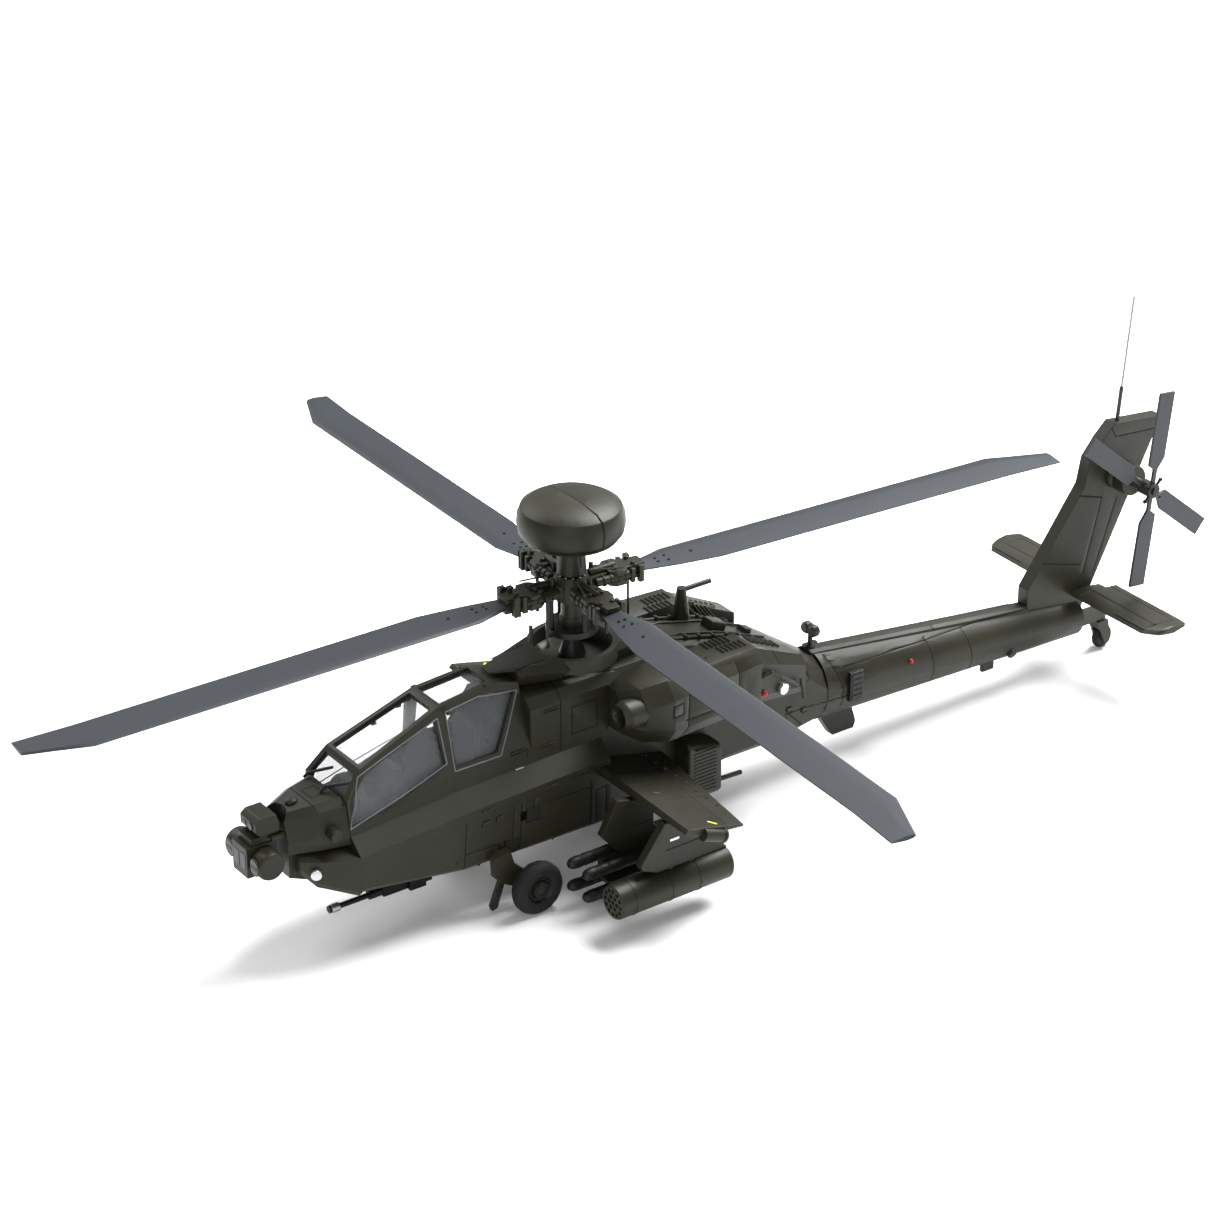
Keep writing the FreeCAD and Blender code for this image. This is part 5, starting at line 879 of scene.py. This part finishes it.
class HELICOPTER_OT_tail(bpy.types.Operator):
    """Adds the tail rotor, boom, tailplane, whip and dispenser fittings"""
    bl_idname = "helicopter.tail"
    bl_label = "Tail fittings"

    def execute(self, context):
        bm = bmesh.new()
        ball(bm, (1.6, *TAIL_HUB[1:]), 2.9, (0.75, 1.25, 1.0), 20)
        ball(bm, (-1.3, *TAIL_HUB[1:]), 2.4, (0.5, 1.2, 1.0), 20)
        for side in (1, -1):
            rod(bm, (side * 3.4, 99.2, 9.2), (side * 4.6, 99.2, 8.6), 1.0, sides=20, soft=0.25)
            brick(bm, (side * 2.0 - 0.5, 93.4, 5.6), (side * 2.0 + 0.5, 96.4, 8.4), 0.3)
            for y, z in ((60.5, 12.6), (66.0, 15.0), (84.0, 12.6)):
                rod(bm, (side * 4.2, y, z), (side * 5.0, y, z), 0.32, sides=10)
        finished("boom fittings", bm, PAINTS["olive"], "airframe")
        plane = Skin("stabilator")
        bm = bmesh.new()
        for side in (1, -1):
            for step in range(4):
                seat = plane.top(side * (14.6 + 1.9 * step), 117.1)
                brick(bm, (-1.0, -0.5, -0.1), (1.0, 0.6, 0.04), 0.02, seat=seat)
        finished("stabilator edge patches", bm, PAINTS["patch"], "stabilator")
        finish = Finish("two tone whip")
        low, high = span("whip_antenna")
        bare_part = finish.axes()[2] > low.z + (high.z - low.z) * 0.28
        foot = finish.mix(finish.noise(200), (0.016, 0.0155, 0.009), (0.01, 0.01, 0.006))
        tint = finish.mix(bare_part, foot, (0.27, 0.27, 0.26))
        whip = finish.close(Base_Color=tint, Roughness=finish.spread(finish.noise(300), 0.35, 0.5))
        frame["nodes"]["whip_antenna"].data.materials[0] = whip
        bm = bmesh.new()
        for side in (1, -1):
            inner, outer = sorted((side * 6.3, side * 7.3))
            brick(bm, (inner, 56.9, 13.2), (outer, 60.0, 19.2), 0.15)
            inner, outer = sorted((side * 7.25, side * 7.42))
            for row in range(5):
                brick(bm, (inner, 57.3, 13.7 + row * 1.08), (outer, 59.6, 14.4 + row * 1.08))
        finished("dispenser boxes", bm, PAINTS["metal"], "airframe")
        bm = bmesh.new()
        for arm in range(4):
            turn = Matrix.Translation(TAIL_HUB) @ Matrix.Rotation(math.radians(45 + arm * 90), 4, "X")
            rod(bm, turn @ Vector((1.1, 0, 1.0)), turn @ Vector((1.1, 0, 2.6)), 0.3, sides=10)
            ball(bm, turn @ Vector((1.1, 0, 2.6)), 0.42)
        rod(bm, (10.2, *TAIL_HUB[1:]), (11.6, *TAIL_HUB[1:]), 0.75, soft=0.15)
        finished("tail hub fittings", bm, PAINTS["metal"], "tail_rotor")
        return {"FINISHED"}


FLOOR_HALF = 6
LIGHTS = (
    ("overhead softbox", (-0.05, 0.42, 0.6), (0, 0.06, 0.02), 0.55, 16.0),
    ("front softbox", (0.75, -0.75, 0.5), (0, -0.02, 0.02), 0.8, 3.5),
    ("far side softbox", (-0.7, -0.15, 0.6), (0, 0, 0.03), 0.6, 4.0),
)
WORLD_STRENGTH = 0.5
CAMERA_LENS = 105.19
CAMERA_PLACE = (445.1, -309.0, 330.0)
CAMERA_LOOK = (-0.72255, 0.51369, -0.46265)
CAMERA_ROLL = -0.168


class HELICOPTER_OT_stage(bpy.types.Operator):
    """Sets the pale floor, the soft lights and the camera"""
    bl_idname = "helicopter.stage"
    bl_label = "Set the stage"

    def execute(self, context):
        bm = bmesh.new()
        bmesh.ops.create_grid(bm, x_segments=2, y_segments=2, size=FLOOR_HALF)
        mesh = bpy.data.meshes.new("floor")
        bm.to_mesh(mesh)
        bm.free()
        floor = bpy.data.objects.new("floor", mesh)
        context.scene.collection.objects.link(floor)
        finish = Finish("pale floor")
        tone = finish.noise(3, 2)
        mesh.materials.append(finish.close(
            Base_Color=finish.mix(tone, (0.86, 0.86, 0.86), (0.88, 0.88, 0.88)), Roughness=0.9))
        for light in LIGHTS:
            self.light(*light)
        world = bpy.data.worlds.new("studio white")
        world.use_nodes = True
        world.node_tree.nodes["Background"].inputs["Color"].default_value = (1, 1, 1, 1)
        world.node_tree.nodes["Background"].inputs["Strength"].default_value = WORLD_STRENGTH
        context.scene.world = world
        lens = bpy.data.cameras.new("camera")
        lens.lens = CAMERA_LENS
        lens.sensor_width = 36
        lens.clip_start = 0.01
        camera = bpy.data.objects.new("camera", lens)
        camera.location = TO_FRAME @ Vector(CAMERA_PLACE)
        roll = Matrix.Rotation(math.radians(CAMERA_ROLL), 3, "Z")
        turn = Vector(CAMERA_LOOK).to_track_quat("-Z", "Y").to_matrix() @ roll
        camera.rotation_euler = turn.to_euler()
        context.scene.collection.objects.link(camera)
        context.scene.camera = camera
        context.scene.view_settings.view_transform = "Standard"
        return {"FINISHED"}

    def light(self, name, place, target, size, power):
        lamp = bpy.data.lights.new(name, "AREA")
        lamp.shape = "DISK"
        lamp.size = size
        lamp.energy = power
        lit = bpy.data.objects.new(name, lamp)
        lit.location = place
        lit.rotation_euler = (Vector(target) - Vector(place)).to_track_quat("-Z", "Y").to_euler()
        bpy.context.scene.collection.objects.link(lit)


OPERATORS = (
    HELICOPTER_OT_paint, HELICOPTER_OT_shells, HELICOPTER_OT_nose, HELICOPTER_OT_sensors,
    HELICOPTER_OT_flanks,
    HELICOPTER_OT_deck, HELICOPTER_OT_rotor, HELICOPTER_OT_blades, HELICOPTER_OT_stores, HELICOPTER_OT_tail,
    HELICOPTER_OT_stage,
)


class HELICOPTER_PT_looks(bpy.types.Panel):
    """Lists the paints, the sizes and the steps"""
    bl_label = "Helicopter looks"
    bl_space_type = "VIEW_3D"
    bl_region_type = "UI"
    bl_category = "Helicopter"

    def draw(self, context):
        for group in (context.scene.helicopter_paints, context.scene.helicopter_sizes):
            for name in group.bl_rna.properties.keys():
                if name not in ("rna_type", "name"):
                    self.layout.prop(group, name)
        for step in OPERATORS:
            self.layout.operator(step.bl_idname)


CLASSES = (PaintColours, FittingSizes, *OPERATORS, HELICOPTER_PT_looks)


def register():
    for cls in CLASSES:
        bpy.utils.register_class(cls)
    bpy.types.Scene.helicopter_paints = bpy.props.PointerProperty(type=PaintColours)
    bpy.types.Scene.helicopter_sizes = bpy.props.PointerProperty(type=FittingSizes)


def unregister():
    del bpy.types.Scene.helicopter_sizes
    del bpy.types.Scene.helicopter_paints
    for cls in reversed(CLASSES):
        bpy.utils.unregister_class(cls)


def main():
    register()
    for step in OPERATORS:
        group, name = step.bl_idname.split(".")
        getattr(getattr(bpy.ops, group), name)()


if __name__ == "__main__":
    main()
